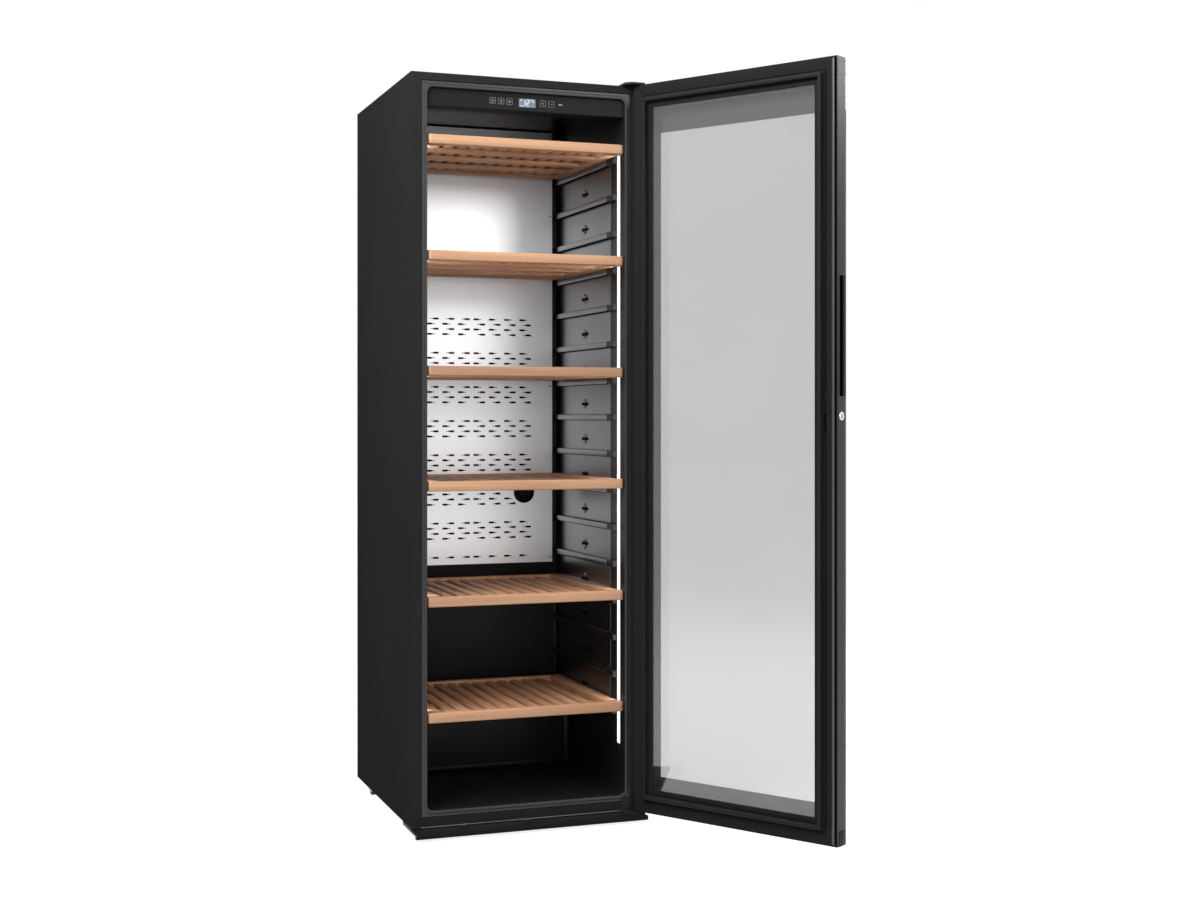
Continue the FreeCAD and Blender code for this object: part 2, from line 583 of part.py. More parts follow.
def make_machine_bay():
    """The compressor and condenser under the step, behind a slotted cover with the cord's gland."""
    middle_x = "(-compressor_offset)"
    middle_y = BAY_MIDDLE
    shell_bottom = f"({PAN_TOP} + compressor_foot)"
    shell_top = f"({shell_bottom} + compressor_height)"
    shell = rod("Z", (middle_x, middle_y), "compressor_radius", shell_bottom, shell_top)
    feet = []
    for x in (f"{middle_x} - compressor_radius / 2", f"{middle_x} + compressor_radius / 2"):
        for y in (f"{middle_y} - compressor_radius / 2", f"{middle_y} + compressor_radius / 2"):
            feet.append(rod("Z", (x, y), "compressor_foot", PAN_TOP, f"{shell_bottom} + compressor_foot"))
    dome = doc.addObject("Part::Cone", "Dome")
    bind(dome, "Radius1", "compressor_radius")
    bind(dome, "Radius2", "compressor_radius - compressor_round")
    bind(dome, "Height", "compressor_round / 2")
    place(dome, middle_x, middle_y, shell_top)
    keep(fuse(shell, dome, *feet), "compressor")

    coil_x = ("condenser_offset - condenser_width / 2", "condenser_offset + condenser_width / 2")
    coil_y = (f"{BAY_MIDDLE} - condenser_depth / 2", f"{BAY_MIDDLE} + condenser_depth / 2")
    coil_z = (f"{PAN_TOP} + condenser_feet", f"{PAN_TOP} + condenser_feet + condenser_height")
    feet = [
        block((x, f"{x} + condenser_feet"), coil_y, (PAN_TOP, coil_z[0]))
        for x in (coil_x[0], f"({coil_x[1]} - condenser_feet)")
    ]
    keep(fuse(block(coil_x, coil_y, coil_z), *feet), "condenser")

    sheet = (f"{BACK} - sheet_thickness", BACK)
    cover = block(sides(f"{SIDE} - sheet_thickness"), sheet, (PAN_TOP, BAY_TOP))
    slots = []
    for i in range(GRILLE_SLOT_COUNT):
        low = f"({PAN_TOP} + grille_margin + {i} * grille_slot_pitch)"
        for x in sides("grille_slot_width / 2 + grille_slot_pitch"):
            slots.append(
                block(
                    (f"{x} - grille_slot_width / 2", f"{x} + grille_slot_width / 2"),
                    sheet,
                    (low, f"{low} + grille_slot_height"),
                )
            )
    gland_centre = (f"{SIDE} - gland_inset", f"{PAN_TOP} + gland_height")
    wire_hole = rod("Y", gland_centre, "gland_bore_radius", *sheet)
    keep(cut(cover, wire_hole, *slots), "rear_grille")
    gland_y = (BACK, f"{BACK} + gland_proud")
    gland = rod("Y", gland_centre, "gland_radius", *gland_y)
    keep(cut(gland, rod("Y", gland_centre, "gland_bore_radius", *gland_y)), "cord_gland")


CAM_X = (f"({DOOR_FREE_EDGE} + lock_length)", f"({DOOR_FREE_EDGE} + lock_length + cam_thickness)")
EDGE_INNER = f"({DOOR_FREE_EDGE} + handle_depth + grip_wall)"


def make_door():
    """The door, drawn shut: two panes in a frame of stiles and rails, with grip, lining, seal and lock."""
    whole_x = (DOOR_FREE_EDGE, DOOR_HINGE_EDGE)
    whole_z = (DOOR_BOTTOM, DOOR_TOP)
    core_y = (DOOR_CORE, DOOR_LINING)
    between = (f"{DOOR_FREE_EDGE} + stile_width", f"{DOOR_HINGE_EDGE} - stile_width")
    hang(wrap(block(whole_x, (DOOR_OUTSIDE, DOOR_CORE), whole_z)), "door_outer_glass")

    handle_x = (DOOR_FREE_EDGE, f"{DOOR_FREE_EDGE} + handle_depth")
    handle_y = (f"{DOOR_MIDDLE} - handle_width / 2", f"{DOOR_MIDDLE} + handle_width / 2")
    handle_z = (HANDLE_BOTTOM, f"{HANDLE_BOTTOM} + handle_length")
    edge_x = (DOOR_FREE_EDGE, EDGE_INNER)
    grip_z = inset(handle_z, "-grip_wall")
    lock_axis = (DOOR_MIDDLE, LOCK_Z)
    cam_room_x = (f"{CAM_X[0]} - cam_slot_gap", f"{CAM_X[1]} + cam_slot_gap")
    cam_room_z = (f"{LOCK_Z} - {CAM_REACH} - cam_slot_gap", f"{LOCK_Z} + lock_barrel_radius + cam_slot_gap")
    cam_room_y = (f"{DOOR_MIDDLE} - lock_barrel_radius - cam_slot_gap", DOOR_INSIDE)
    lock_room = rod("X", lock_axis, "lock_radius + running_clearance", EDGE_INNER, CAM_X[0])
    free_stile = block((EDGE_INNER, between[0]), core_y, whole_z)
    cam_room = block(cam_room_x, cam_room_y, cam_room_z)
    hang(cut(free_stile, lock_room, cam_room), "door_free_stile")
    lower_edge = block(edge_x, core_y, (DOOR_BOTTOM, grip_z[0]))
    upper_edge = block(edge_x, core_y, (grip_z[1], DOOR_TOP))
    lock_mouth = rod("X", lock_axis, "lock_radius + running_clearance", *edge_x)
    hang(group(cut(lower_edge, lock_mouth), upper_edge), "door_edge_profile")
    hang(cut(block(edge_x, core_y, grip_z), block(handle_x, handle_y, handle_z)), "door_grip")

    bush_spans = ((DOOR_BOTTOM, f"{DOOR_BOTTOM} + bush_length"), (f"{DOOR_TOP} - bush_length", DOOR_TOP))
    hinge_stile = block((between[1], DOOR_HINGE_EDGE), core_y, whole_z)
    rooms = [rod("Z", ("0", "0"), f"{BUSH_RADIUS} + running_clearance", *span) for span in bush_spans]
    hang(cut(hinge_stile, *rooms), "door_hinge_stile")
    bushes = [
        cut(
            rod("Z", ("0", "0"), BUSH_RADIUS, *span),
            rod("Z", ("0", "0"), "hinge_pin_radius + running_clearance", *span),
        )
        for span in bush_spans
    ]
    hang(group(*bushes), "door_bushes")
    hang(wrap(block(between, core_y, (DOOR_BOTTOM, f"{DOOR_BOTTOM} + stile_width"))), "door_bottom_rail")
    hang(wrap(block(between, core_y, (f"{DOOR_TOP} - stile_width", DOOR_TOP))), "door_top_rail")

    pane_y = (f"{DOOR_LINING} - inner_glass_thickness", DOOR_LINING)
    pane_x = inset((DOOR_FREE_EDGE, DOOR_HINGE_EDGE), "stile_width + fit_clearance")
    pane_z = inset(whole_z, "stile_width + fit_clearance")
    hang(wrap(block(pane_x, pane_y, pane_z)), "door_inner_glass")
    sight_x = inset(whole_x, GLASS_BORDER)
    sight_z = inset(whole_z, GLASS_BORDER)
    spacer_y = (DOOR_CORE, pane_y[0])
    hang(cut(block(pane_x, spacer_y, pane_z), block(sight_x, spacer_y, sight_z)), "door_glass_spacer")
    lining_y = (DOOR_LINING, DOOR_INSIDE)
    lining = block(whole_x, lining_y, whole_z)
    cam_mouth = block(cam_room_x, lining_y, cam_room_z)
    hang(cut(lining, block(sight_x, lining_y, sight_z), cam_mouth), "door_lining")
    seal_y = (DOOR_INSIDE, f"{DOOR_INSIDE} + gasket_gap - gasket_clearance")
    seal_outer = block(inset(whole_x, "gasket_inset"), seal_y, inset(whole_z, "gasket_inset"))
    seal_inner = block(
        inset(whole_x, "gasket_inset + gasket_width"), seal_y, inset(whole_z, "gasket_inset + gasket_width")
    )
    hang(cut(seal_outer, seal_inner), "door_gasket")

    ring_x = (f"{DOOR_FREE_EDGE} - lock_proud", CAM_X[0])
    ring_hole = rod("X", lock_axis, "lock_barrel_radius + running_clearance", *ring_x)
    hang(cut(rod("X", lock_axis, "lock_radius", *ring_x), ring_hole), "lock_housing")
    barrel = rod("X", lock_axis, "lock_barrel_radius", ring_x[0], CAM_X[1])
    cam_y = (f"{DOOR_MIDDLE} - cam_width / 2", f"{DOOR_MIDDLE} + cam_width / 2")
    cam = block(CAM_X, cam_y, (f"{LOCK_Z} - {CAM_REACH}", LOCK_Z))
    keyway_x = (ring_x[0], f"{ring_x[0]} + keyway_depth")
    keyway_z = (f"{LOCK_Z} - keyway_length / 2", f"{LOCK_Z} + keyway_length / 2")
    keyway_y = (f"{DOOR_MIDDLE} - keyway_width / 2", f"{DOOR_MIDDLE} + keyway_width / 2")
    hang(cut(fuse(barrel, cam), block(keyway_x, keyway_y, keyway_z)), "lock_barrel")


def make_shelf(number):
    """A slatted wooden shelf with a metal runner on each side, resting on its rails."""
    low = f"({FIRST_RAIL} + {(number - 1) * RAILS_PER_SHELF} * rail_pitch)"
    high = f"({low} + shelf_height)"
    depth = (SHELF_FRONT, SHELF_BACK)
    inner = f"({SHELF_SIDE} - shelf_rail_width)"
    parts = [
        block(sides(SHELF_SIDE), (SHELF_FRONT, f"{SHELF_FRONT} + bar_thickness"), (low, high)),
        block(sides(SHELF_SIDE), (f"{SHELF_BACK} - bar_thickness", SHELF_BACK), (low, high)),
    ]
    for x in both_sides(inner, SHELF_SIDE):
        parts.append(block(x, depth, (low, high)))
    for i in range(1, BATTEN_COUNT + 1):
        middle = f"({SHELF_FRONT} + ({SHELF_BACK} - {SHELF_FRONT}) * {i} / {BATTEN_COUNT + 1})"
        span = (f"{middle} - batten_width / 2", f"{middle} + batten_width / 2")
        parts.append(block(sides(inner), span, (low, f"{low} + batten_height")))
    slat_z = (f"{low} + batten_height", f"{low} + batten_height + slat_height")
    for i in range(1, SLAT_COUNT + 1):
        middle = f"({inner} * {2 * i / (SLAT_COUNT + 1) - 1})"
        span = (f"{middle} - slat_width / 2", f"{middle} + slat_width / 2")
        parts.append(block(span, depth, slat_z))
    keep(fuse(*parts), f"shelf_{number}_wood")

    runners = []
    for sign in ("-", ""):
        inside = f"{sign}{SHELF_SIDE}"
        web = f"{sign}({SHELF_SIDE} + runner_thickness)"
        outside = f"{sign}{RUNNER_SIDE}"
        outline = [
            (inside, low),
            (outside, low),
            (outside, f"{low} + runner_thickness"),
            (web, f"{low} + runner_thickness"),
            (web, f"{high} - runner_thickness"),
            (outside, f"{high} - runner_thickness"),
            (outside, high),
            (inside, high),
        ]
        runners.append(prism("XZ", outline, *depth))
    keep(group(*runners), f"shelf_{number}_runners")


def write_parts():
    """Stop if anything failed, then write each piece to its own file."""
    doc.recompute()
    for obj in doc.Objects:
        if "Invalid" in obj.State or "Error" in obj.State:
            raise RuntimeError(f"{obj.Label} failed: {obj.State}")
    os.makedirs("parts", exist_ok=True)
    for node in nodes:
        if node.Shape.isNull() or not node.Shape.isValid():
            raise RuntimeError(f"{node.Label} has no valid shape")
        node.Shape.exportStep(f"parts/{node.Label}.step")
    print(f"{len(nodes)} pieces")


make_sheet()
make_outer_shell()
make_base()
make_front_frame()
make_liner()
make_rails()
make_cold_wall()
make_controls()
make_hinges()
make_machine_bay()
make_door()
for shelf_number in range(1, SHELF_COUNT + 1):
    make_shelf(shelf_number)
write_parts()
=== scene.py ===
# %% [markdown]
# # A tall wine cooler with its glass door open
# The engineering model holds every panel, hinge and shelf at its real size. This notebook adds the looks:
# rounded metal edges, beech, smoked glass, perforations and small fittings. Lengths are metres, as in the
# model. Nearly every piece takes its place from the model's own boxes, so few numbers have to be repeated
# here.

# %% Load the model
import json
import math

import bmesh
import bpy
from mathutils import Matrix, Vector


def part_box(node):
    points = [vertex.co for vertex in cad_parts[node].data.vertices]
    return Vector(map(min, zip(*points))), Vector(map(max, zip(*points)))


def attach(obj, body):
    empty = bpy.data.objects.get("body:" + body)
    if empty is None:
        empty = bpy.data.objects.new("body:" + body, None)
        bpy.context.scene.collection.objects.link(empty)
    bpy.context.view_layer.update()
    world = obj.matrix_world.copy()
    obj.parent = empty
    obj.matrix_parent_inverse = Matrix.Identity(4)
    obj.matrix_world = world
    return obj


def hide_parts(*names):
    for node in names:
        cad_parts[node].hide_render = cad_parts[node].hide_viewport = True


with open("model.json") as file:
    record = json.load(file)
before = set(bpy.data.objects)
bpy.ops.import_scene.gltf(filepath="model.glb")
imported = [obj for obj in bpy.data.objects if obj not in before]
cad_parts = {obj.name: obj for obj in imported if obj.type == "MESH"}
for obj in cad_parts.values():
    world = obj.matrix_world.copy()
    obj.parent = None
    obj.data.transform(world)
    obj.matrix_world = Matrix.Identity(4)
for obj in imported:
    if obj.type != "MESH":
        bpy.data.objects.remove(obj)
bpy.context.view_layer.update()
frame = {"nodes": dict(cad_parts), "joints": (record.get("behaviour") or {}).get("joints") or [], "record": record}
MM = 0.001
BODY_OF = {node: body for body, nodes in frame["record"]["behaviour"]["bodies"].items() for node in nodes}
SLOT_OF = {node: solid.data.materials[0].name for node, solid in frame["nodes"].items()}
print("nodes", len(BODY_OF), "finishes", sorted(set(SLOT_OF.values())))

# %% [markdown]
# The door stands open at an odd angle, which is awkward to draw in. So door pieces are drawn with the door
# shut, round its hinge axis, and turned into place at the end. The hinge joint gives both the axis and the
# angle.

# %% The door's own frame
HINGE = next(joint for joint in frame["joints"] if joint["name"] == "door_hinge")
OPEN_ANGLE = math.radians(HINGE["range_deg"][1])
HINGE_AXIS = Vector((HINGE["pos_m"][0], HINGE["pos_m"][1], 0))
DOOR_TURN = Matrix.Translation(HINGE_AXIS) @ Matrix.Rotation(OPEN_ANGLE, 4, "Z")


def door_box(node):
    """The lowest and highest corner of a door node, with the door shut and the hinge axis at the origin."""
    shut = DOOR_TURN.inverted()
    points = [shut @ vertex.co for vertex in frame["nodes"][node].data.vertices]
    low = Vector([min(point[axis] for point in points) for axis in range(3)])
    high = Vector([max(point[axis] for point in points) for axis in range(3)])
    return low, high


print("door", door_box("door_lining"))

# %% [markdown]
# ## The studio
# A black appliance on white is mostly reflections. A plain white room would turn every face the same grey, so
# a few large soft lamps stand round it. The world is white for the camera, for mirror rays and through glass,
# and dimmer as a light, which keeps black paint black.

# %% Camera
camera_data = bpy.data.cameras.new("Camera")
camera_data.lens = 50.83
camera_data.sensor_width = 36
camera_data.shift_x = -0.0132
camera_data.shift_y = -0.0291
camera = bpy.data.objects.new("Camera", camera_data)
camera.location = (-1.2586, -4.3411, 1.0255)
camera.rotation_euler = (math.radians(90), 0, math.radians(-20.33))
bpy.context.scene.collection.objects.link(camera)
bpy.context.scene.camera = camera
bpy.context.scene.view_settings.view_transform = "Standard"
print("camera", camera.location)

# %% [markdown]
# Shaders and repeating shapes are both trees of nodes. One helper adds a node with its settings and links, so
# a tree reads from top to bottom like a recipe. The smaller helpers are the steps that nearly every recipe
# needs.


# %% Node helpers
def add(tree, kind, inputs=None, **settings):
    """Add a node to a shader or geometry tree, set its options, and set or link its inputs."""
    node = tree.nodes.new(kind)
    for name, value in settings.items():
        setattr(node, name, value)
    for name, value in (inputs or {}).items():
        socket = node.inputs[name]
        for source in value if isinstance(value, list) else [value]:
            if isinstance(source, bpy.types.NodeSocket):
                tree.links.new(source, socket)
            else:
                socket.default_value = source
    return node


def calc(tree, operation, first, second=0.0):
    """A number worked out from two others."""
    return add(tree, "ShaderNodeMath", {0: first, 1: second}, operation=operation).outputs[0]


def spread(tree, value, low, high, source=(0.0, 1.0)):
    """A number carried from a source range to the range from low to high."""
    ends = {"Value": value, "From Min": source[0], "From Max": source[1], "To Min": low, "To Max": high}
    return add(tree, "ShaderNodeMapRange", ends).outputs["Result"]


def noise(tree, vector, scale, **more):
    """Smooth noise, as a number for every place."""
    return add(tree, "ShaderNodeTexNoise", {"Vector": vector, "Scale": scale, **more}).outputs["Fac"]


def relief(tree, height, strength):
    """Normals that make a height look like real bumps, a fifth of a millimetre deep."""
    return add(tree, "ShaderNodeBump", {"Height": height, "Strength": strength,
                                        "Distance": 0.2 * MM}).outputs[0]


def empty_material(name):
    """A material with an empty tree, and the tree itself."""
    material = bpy.data.materials.new(name)
    material.use_nodes = True
    material.node_tree.nodes.clear()
    return material, material.node_tree


def principled(material, tree, inputs):
    """Close a material with one Principled shader, which suits paint, metal, wood and glass alike."""
    shader = add(tree, "ShaderNodeBsdfPrincipled", inputs)
    add(tree, "ShaderNodeOutputMaterial", {"Surface": shader.outputs[0]})
    return material


print("node helpers ready")

# %% [markdown]
# The white room could be a big lit sphere round the scene. The world's own background does the same for free,
# and a test of what kind of ray is asking lets it look white and yet light the scene softly.


# %% World
def background_rays(tree):
    """One for rays that show the background: from the camera, through glass, or off a mirror."""
    ray = add(tree, "ShaderNodeLightPath").outputs
    through = calc(tree, "MAXIMUM", ray["Is Camera Ray"], ray["Is Transmission Ray"])
    return calc(tree, "MAXIMUM", through, ray["Is Glossy Ray"])


WORLD_LIGHT = 0.38
world = bpy.data.worlds.new("Studio")
bpy.context.scene.world = world
world.use_nodes = True
sky_tree = world.node_tree
sky_tree.nodes.clear()
brightness = spread(sky_tree, background_rays(sky_tree), WORLD_LIGHT, 1.0)
sky = add(sky_tree, "ShaderNodeBackground", {"Color": (1, 1, 1, 1), "Strength": brightness})
add(sky_tree, "ShaderNodeOutputWorld", {"Surface": sky.outputs[0]})
print("world", world.name)

# %% [markdown]
# Each lamp is a soft rectangle aimed at a point, like a softbox in a studio. Six of them give every black
# face something to mirror: key, side and fill in front, one above, one behind, and one for the door's edge.


# %% Lamps
def lamp(name, place, target, size, power, hidden=False):
    """A soft rectangular lamp that faces a target, and isn't seen through glass. Power is in watts."""
    light = bpy.data.lights.new(name, "AREA")
    light.shape = "RECTANGLE"
    light.size, light.size_y = size
    light.energy = power
    holder = bpy.data.objects.new(name, light)
    holder.location = place
    holder.rotation_euler = (Vector(target) - Vector(place)).to_track_quat("-Z", "Y").to_euler()
    holder.visible_camera = not hidden
    holder.visible_transmission = False
    bpy.context.scene.collection.objects.link(holder)
    return holder


for row in (
    ("key", (-2.3, -2.8, 2.9), (0, 0, 1.2), (1.2, 1.6), 50),
    ("side", (-1.8, -1.3, 3.0), (-0.3, -0.2, 1.6), (0.9, 0.9), 60),
    ("fill", (1.6, -4.0, 2.6), (0, 0, 1.2), (1.2, 1.6), 26),
    ("top", (0.0, -0.4, 4.0), (0, 0, 0), (2.0, 2.0), 40),
    ("back", (3.4, 2.0, 2.4), (0, 0, 1.0), (1.2, 1.6), 45),
    ("edge", (3.2, -0.78, 2.6), (0.6, -0.8, 1.8), (0.8, 0.8), 15),
):
    print("lamp", lamp(*row).name)

# %% [markdown]
# The cooler has a light strip up each side wall. The strips glow, but thin glowing faces are a poor light
# source for a render, so a narrow lamp stands just in front of each one and does the lighting.

# %% Lights inside the cooler
STRIP_LAMP_SIZE, STRIP_LAMP_POWER, STRIP_LAMP_INSET = (12 * MM, 1.5), 0.9, 9 * MM
strips_low, strips_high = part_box("light_strips")
for side in (-1, 1):
    middle = (strips_low + strips_high) / 2
    place = (side * (strips_high.x - STRIP_LAMP_INSET), middle.y, middle.z)
    target = (-side * 0.1, middle.y + 0.3, middle.z)
    inner_lamp = lamp(f"strip_{side}", place, target, STRIP_LAMP_SIZE, STRIP_LAMP_POWER, hidden=True)
    inner_lamp.visible_glossy = False
print("inner lamps at x", strips_high.x)

# %% [markdown]
# The floor is a pale sheet. For the camera it also glows a little, so that it reads as white paper and still
# shows the soft shadow under the cabinet.

# %% Floor
FLOOR_TONE, FLOOR_GLOW, FLOOR_REACH = 0.42, 0.86, 30.0


def pale_floor():
    """A large pale plane at the cabinet's feet."""
    material, tree = empty_material("pale_floor")
    shade = add(tree, "ShaderNodeBsdfDiffuse", {"Color": (FLOOR_TONE, FLOOR_TONE, FLOOR_TONE, 1)})
    glow = add(tree, "ShaderNodeEmission", {"Color": (1, 1, 1, 1), "Strength": FLOOR_GLOW})
    lifted = add(tree, "ShaderNodeAddShader", {0: shade.outputs[0], 1: glow.outputs[0]})
    chosen = {0: background_rays(tree), 1: shade.outputs[0], 2: lifted.outputs[0]}
    mixed = add(tree, "ShaderNodeMixShader", chosen)
    add(tree, "ShaderNodeOutputMaterial", {"Surface": mixed.outputs[0]})
    mesh = bpy.data.meshes.new("floor")
    reach = FLOOR_REACH
    corners = [(-reach, -reach, 0), (reach, -reach, 0), (reach, reach, 0), (-reach, reach, 0)]
    mesh.from_pydata(corners, [], [(0, 1, 2, 3)])
    floor = bpy.data.objects.new("floor", mesh)
    floor.data.materials.append(material)
    bpy.context.scene.collection.objects.link(floor)
    return floor


pale_floor()
print("floor laid")

# %% [markdown]
# ## Effects that several finishes share
# Paint, moulded plastic and metal all have a fine grain and a slow unevenness. Each effect is a node group
# with named inputs, made once here. A group gives out only numbers and colours, and the shader stays in each
# material.


# %% Effect group helper
def effect(name, inputs, outputs):
    """An empty shader group with named inputs and outputs."""
    tree = bpy.data.node_groups.new(name, "ShaderNodeTree")
    for label, (kind, value) in inputs.items():
        socket = tree.interface.new_socket(label, in_out="INPUT", socket_type=kind)
        if value is not None:
            socket.default_value = value
    for label, kind in outputs.items():
        tree.interface.new_socket(label, in_out="OUTPUT", socket_type=kind)
    return tree, tree.nodes.new("NodeGroupInput").outputs


def use(tree, made, **inputs):
    """Place a group in a material and give its sockets back. Underscores in names stand for spaces."""
    node = tree.nodes.new("ShaderNodeGroup")
    node.node_tree = made
    for name, value in inputs.items():
        socket = node.inputs[name.replace("_", " ")]
        if isinstance(value, bpy.types.NodeSocket):
            tree.links.new(value, socket)
        else:
            socket.default_value = value
    return node.outputs


FLOAT, VECTOR, COLOR = "NodeSocketFloat", "NodeSocketVector", "NodeSocketColor"
print("group helpers ready")


# %% Fine grain and slow unevenness
def make_fine_grain():
    """Small even bumps, as in satin paint and moulded plastic."""
    tree, given = effect("fine_grain", {"Vector": (VECTOR, None), "Scale": (FLOAT, 900.0)}, {"Height": FLOAT})
    small = noise(tree, given["Vector"], given["Scale"])
    cells = add(tree, "ShaderNodeTexVoronoi", {"Vector": given["Vector"], "Scale": given["Scale"]})
    add(tree, "NodeGroupOutput", {"Height": calc(tree, "ADD", small, cells.outputs["Distance"])})
    return tree


def make_unevenness():
    """A number that drifts between two values over a surface, for roughness and tone."""
    inputs = {"Vector": (VECTOR, None), "Scale": (FLOAT, 3.0), "Low": (FLOAT, 0.0), "High": (FLOAT, 1.0)}
    tree, given = effect("unevenness", inputs, {"Value": FLOAT})
    drift = noise(tree, given["Vector"], given["Scale"], Detail=5.0)
    add(tree, "NodeGroupOutput", {"Value": spread(tree, drift, given["Low"], given["High"], (0.3, 0.7))})
    return tree


def make_shade():
    """A colour made a little lighter or darker by a number round one."""
    inputs = {"Color": (COLOR, (0.5, 0.5, 0.5, 1)), "Amount": (FLOAT, 1.0)}
    tree, given = effect("shade", inputs, {"Color": COLOR})
    scaled = add(tree, "ShaderNodeVectorMath", {0: given["Color"]}, operation="SCALE")
    tree.links.new(given["Amount"], scaled.inputs["Scale"])
    add(tree, "NodeGroupOutput", {"Color": scaled.outputs[0]})
    return tree


FINE_GRAIN, UNEVENNESS, SHADE = make_fine_grain(), make_unevenness(), make_shade()


def drifting(tree, place, color, scale, low, high):
    """A colour that drifts a little darker and lighter over a surface."""
    tone = use(tree, UNEVENNESS, Vector=place, Scale=scale, Low=low, High=high)["Value"]
    return use(tree, SHADE, Color=(*color, 1), Amount=tone)["Color"]


print("groups", FINE_GRAIN.name, UNEVENNESS.name, SHADE.name)

# %% [markdown]
# Brushing leaves scratches that are long one way and fine the other. A picture of scratches would need
# mapping onto every face. A noise whose place is squeezed along one axis needs none, and a second, slower one
# gives broad streaks.


# %% Brushed lines
def make_brushed_lines():
    """Fine parallel scratches, long in one direction. The Stretch input is small along the scratches."""
    inputs = {"Vector": (VECTOR, None), "Stretch": (VECTOR, (1.0, 1.0, 1.0))}
    tree, given = effect("brushed_lines", inputs, {"Height": FLOAT, "Streak": FLOAT})
    long = add(tree, "ShaderNodeMapping", {"Vector": given["Vector"], "Scale": given["Stretch"]})
    fine = noise(tree, long.outputs[0], 1.0, Detail=3.0)
    wide = noise(tree, long.outputs[0], 0.12)
    add(tree, "NodeGroupOutput", {"Height": fine, "Streak": wide})
    return tree


BRUSHED_LINES = make_brushed_lines()
print("group", BRUSHED_LINES.name)

# %% [markdown]
# Beech is pale and straight, with slow bands and thousands of short dark pores along the grain. Both come
# from noise that is stretched along the bar. A tone from nought to one shifts the pattern, so no two bars are
# the same.


# %% Beech grain
def make_beech_grain():
    """Straight pale beech: slow bands, thin dark pores along the grain, and its own tone for each bar."""
    inputs = {"Vector": (VECTOR, None), "Tone": (FLOAT, 0.5)}
    tree, given = effect("beech_grain", inputs, {"Color": COLOR, "Roughness": FLOAT, "Height": FLOAT})
    shift = calc(tree, "MULTIPLY", given["Tone"], 7.0)
    moved = add(tree, "ShaderNodeVectorMath", {0: given["Vector"], 1: shift}, operation="ADD")
    banded = add(tree, "ShaderNodeMapping", {"Vector": moved.outputs[0], "Scale": (55.0, 55.0, 3.2)})
    bands = noise(tree, banded.outputs[0], 1.0, Distortion=0.5)
    flecked = add(tree, "ShaderNodeMapping", {"Vector": moved.outputs[0], "Scale": (1500.0, 1500.0, 150.0)})
    flecks = noise(tree, flecked.outputs[0], 1.0, Detail=1.0)
    ramp = add(tree, "ShaderNodeValToRGB", {"Fac": bands})
    ramp.color_ramp.elements[0].position, ramp.color_ramp.elements[1].position = 0.36, 0.66
    ramp.color_ramp.elements[0].color = (0.50, 0.262, 0.145, 1)
    ramp.color_ramp.elements[1].color = (0.63, 0.355, 0.205, 1)
    pores = spread(tree, flecks, 1.0, 0.8, (0.58, 0.72))
    amount = calc(tree, "MULTIPLY", pores, spread(tree, given["Tone"], 0.72, 1.05))
    color = use(tree, SHADE, Color=ramp.outputs["Color"], Amount=amount)["Color"]
    add(tree, "NodeGroupOutput", {"Color": color, "Roughness": spread(tree, bands, 0.42, 0.6),
                                  "Height": pores})
    return tree


BEECH_GRAIN = make_beech_grain()
print("group", BEECH_GRAIN.name)

# %% [markdown]
# ## Finishes
# Most of the cooler is dark paint or dark plastic. Both come from one recipe: a nearly black base, a satin
# sheen whose roughness drifts, and a fine grain that is felt more than seen. Only the numbers differ.


# %% Satin paint and plastic
def satin(name, color, roughness, grain=1100.0, bump=0.06, metallic=0.0, coat=0.0, shine=0.12):
    """Satin paint, plastic or rubber with a fine grain and uneven sheen. Shine scales the reflections."""
    material, tree = empty_material(name)
    place = add(tree, "ShaderNodeTexCoord").outputs["Object"]
    height = use(tree, FINE_GRAIN, Vector=place, Scale=grain)["Height"]
    rough = use(tree, UNEVENNESS, Vector=place, Scale=5.0, Low=roughness * 0.9,
                High=roughness * 1.12)["Value"]
    paint = drifting(tree, place, color, 1.7, 0.93, 1.07)
    return principled(material, tree, {
        "Base Color": paint, "Roughness": rough, "Metallic": metallic, "Coat Weight": coat,
        "Specular IOR Level": shine, "Normal": relief(tree, height, bump),
    })


FINISH = {
    "charcoal_steel": satin("satin_charcoal_paint", (0.025, 0.025, 0.026), 0.55, shine=0.0),
    "bare_steel": satin("zinc_plated_steel", (0.42, 0.43, 0.45), 0.38, metallic=1.0),
    "black_plastic": satin("black_moulding", (0.014, 0.014, 0.0155), 0.38, grain=900.0, shine=0.08),
    "liner_plastic": satin("liner_sheet_plastic", (0.010, 0.010, 0.0105), 0.30, grain=700.0),
    "foam": satin("foam_insulation", (0.62, 0.52, 0.33), 0.9, grain=240.0, bump=0.6),
    "hinge_steel": satin("hinge_black_steel", (0.02, 0.02, 0.021), 0.34),
    "compressor_paint": satin("compressor_enamel", (0.012, 0.012, 0.013), 0.22, grain=400.0, coat=0.4),
    "door_frame": satin("door_frame_black", (0.016, 0.016, 0.017), 0.45, shine=0.04),
    "edge_metal": satin("door_edge_aluminium", (0.012, 0.012, 0.0125), 0.34, shine=0.3),
    "seal_rubber": satin("seal_rubber_black", (0.012, 0.012, 0.0125), 0.55, grain=600.0, bump=0.12),
    "roller_plastic": satin("roller_nylon", (0.03, 0.03, 0.031), 0.42),
    "chrome": satin("bright_chrome", (0.86, 0.87, 0.88), 0.12, metallic=1.0, bump=0.01),
}
# Near black for grooves, hollows and slots: painted shade where a recess would be dark.
PAINTED_SHADE_BLACK = satin("painted_shade_black", (0.002, 0.002, 0.002), 0.7)
print("finishes", len(FINISH))

# %% [markdown]
# The back plate, rail panels and shelf runners are brushed metal. The scratches are a noise squeezed along
# one axis. They tilt the surface a little, so that the strip lights smear into soft upright and level bands.


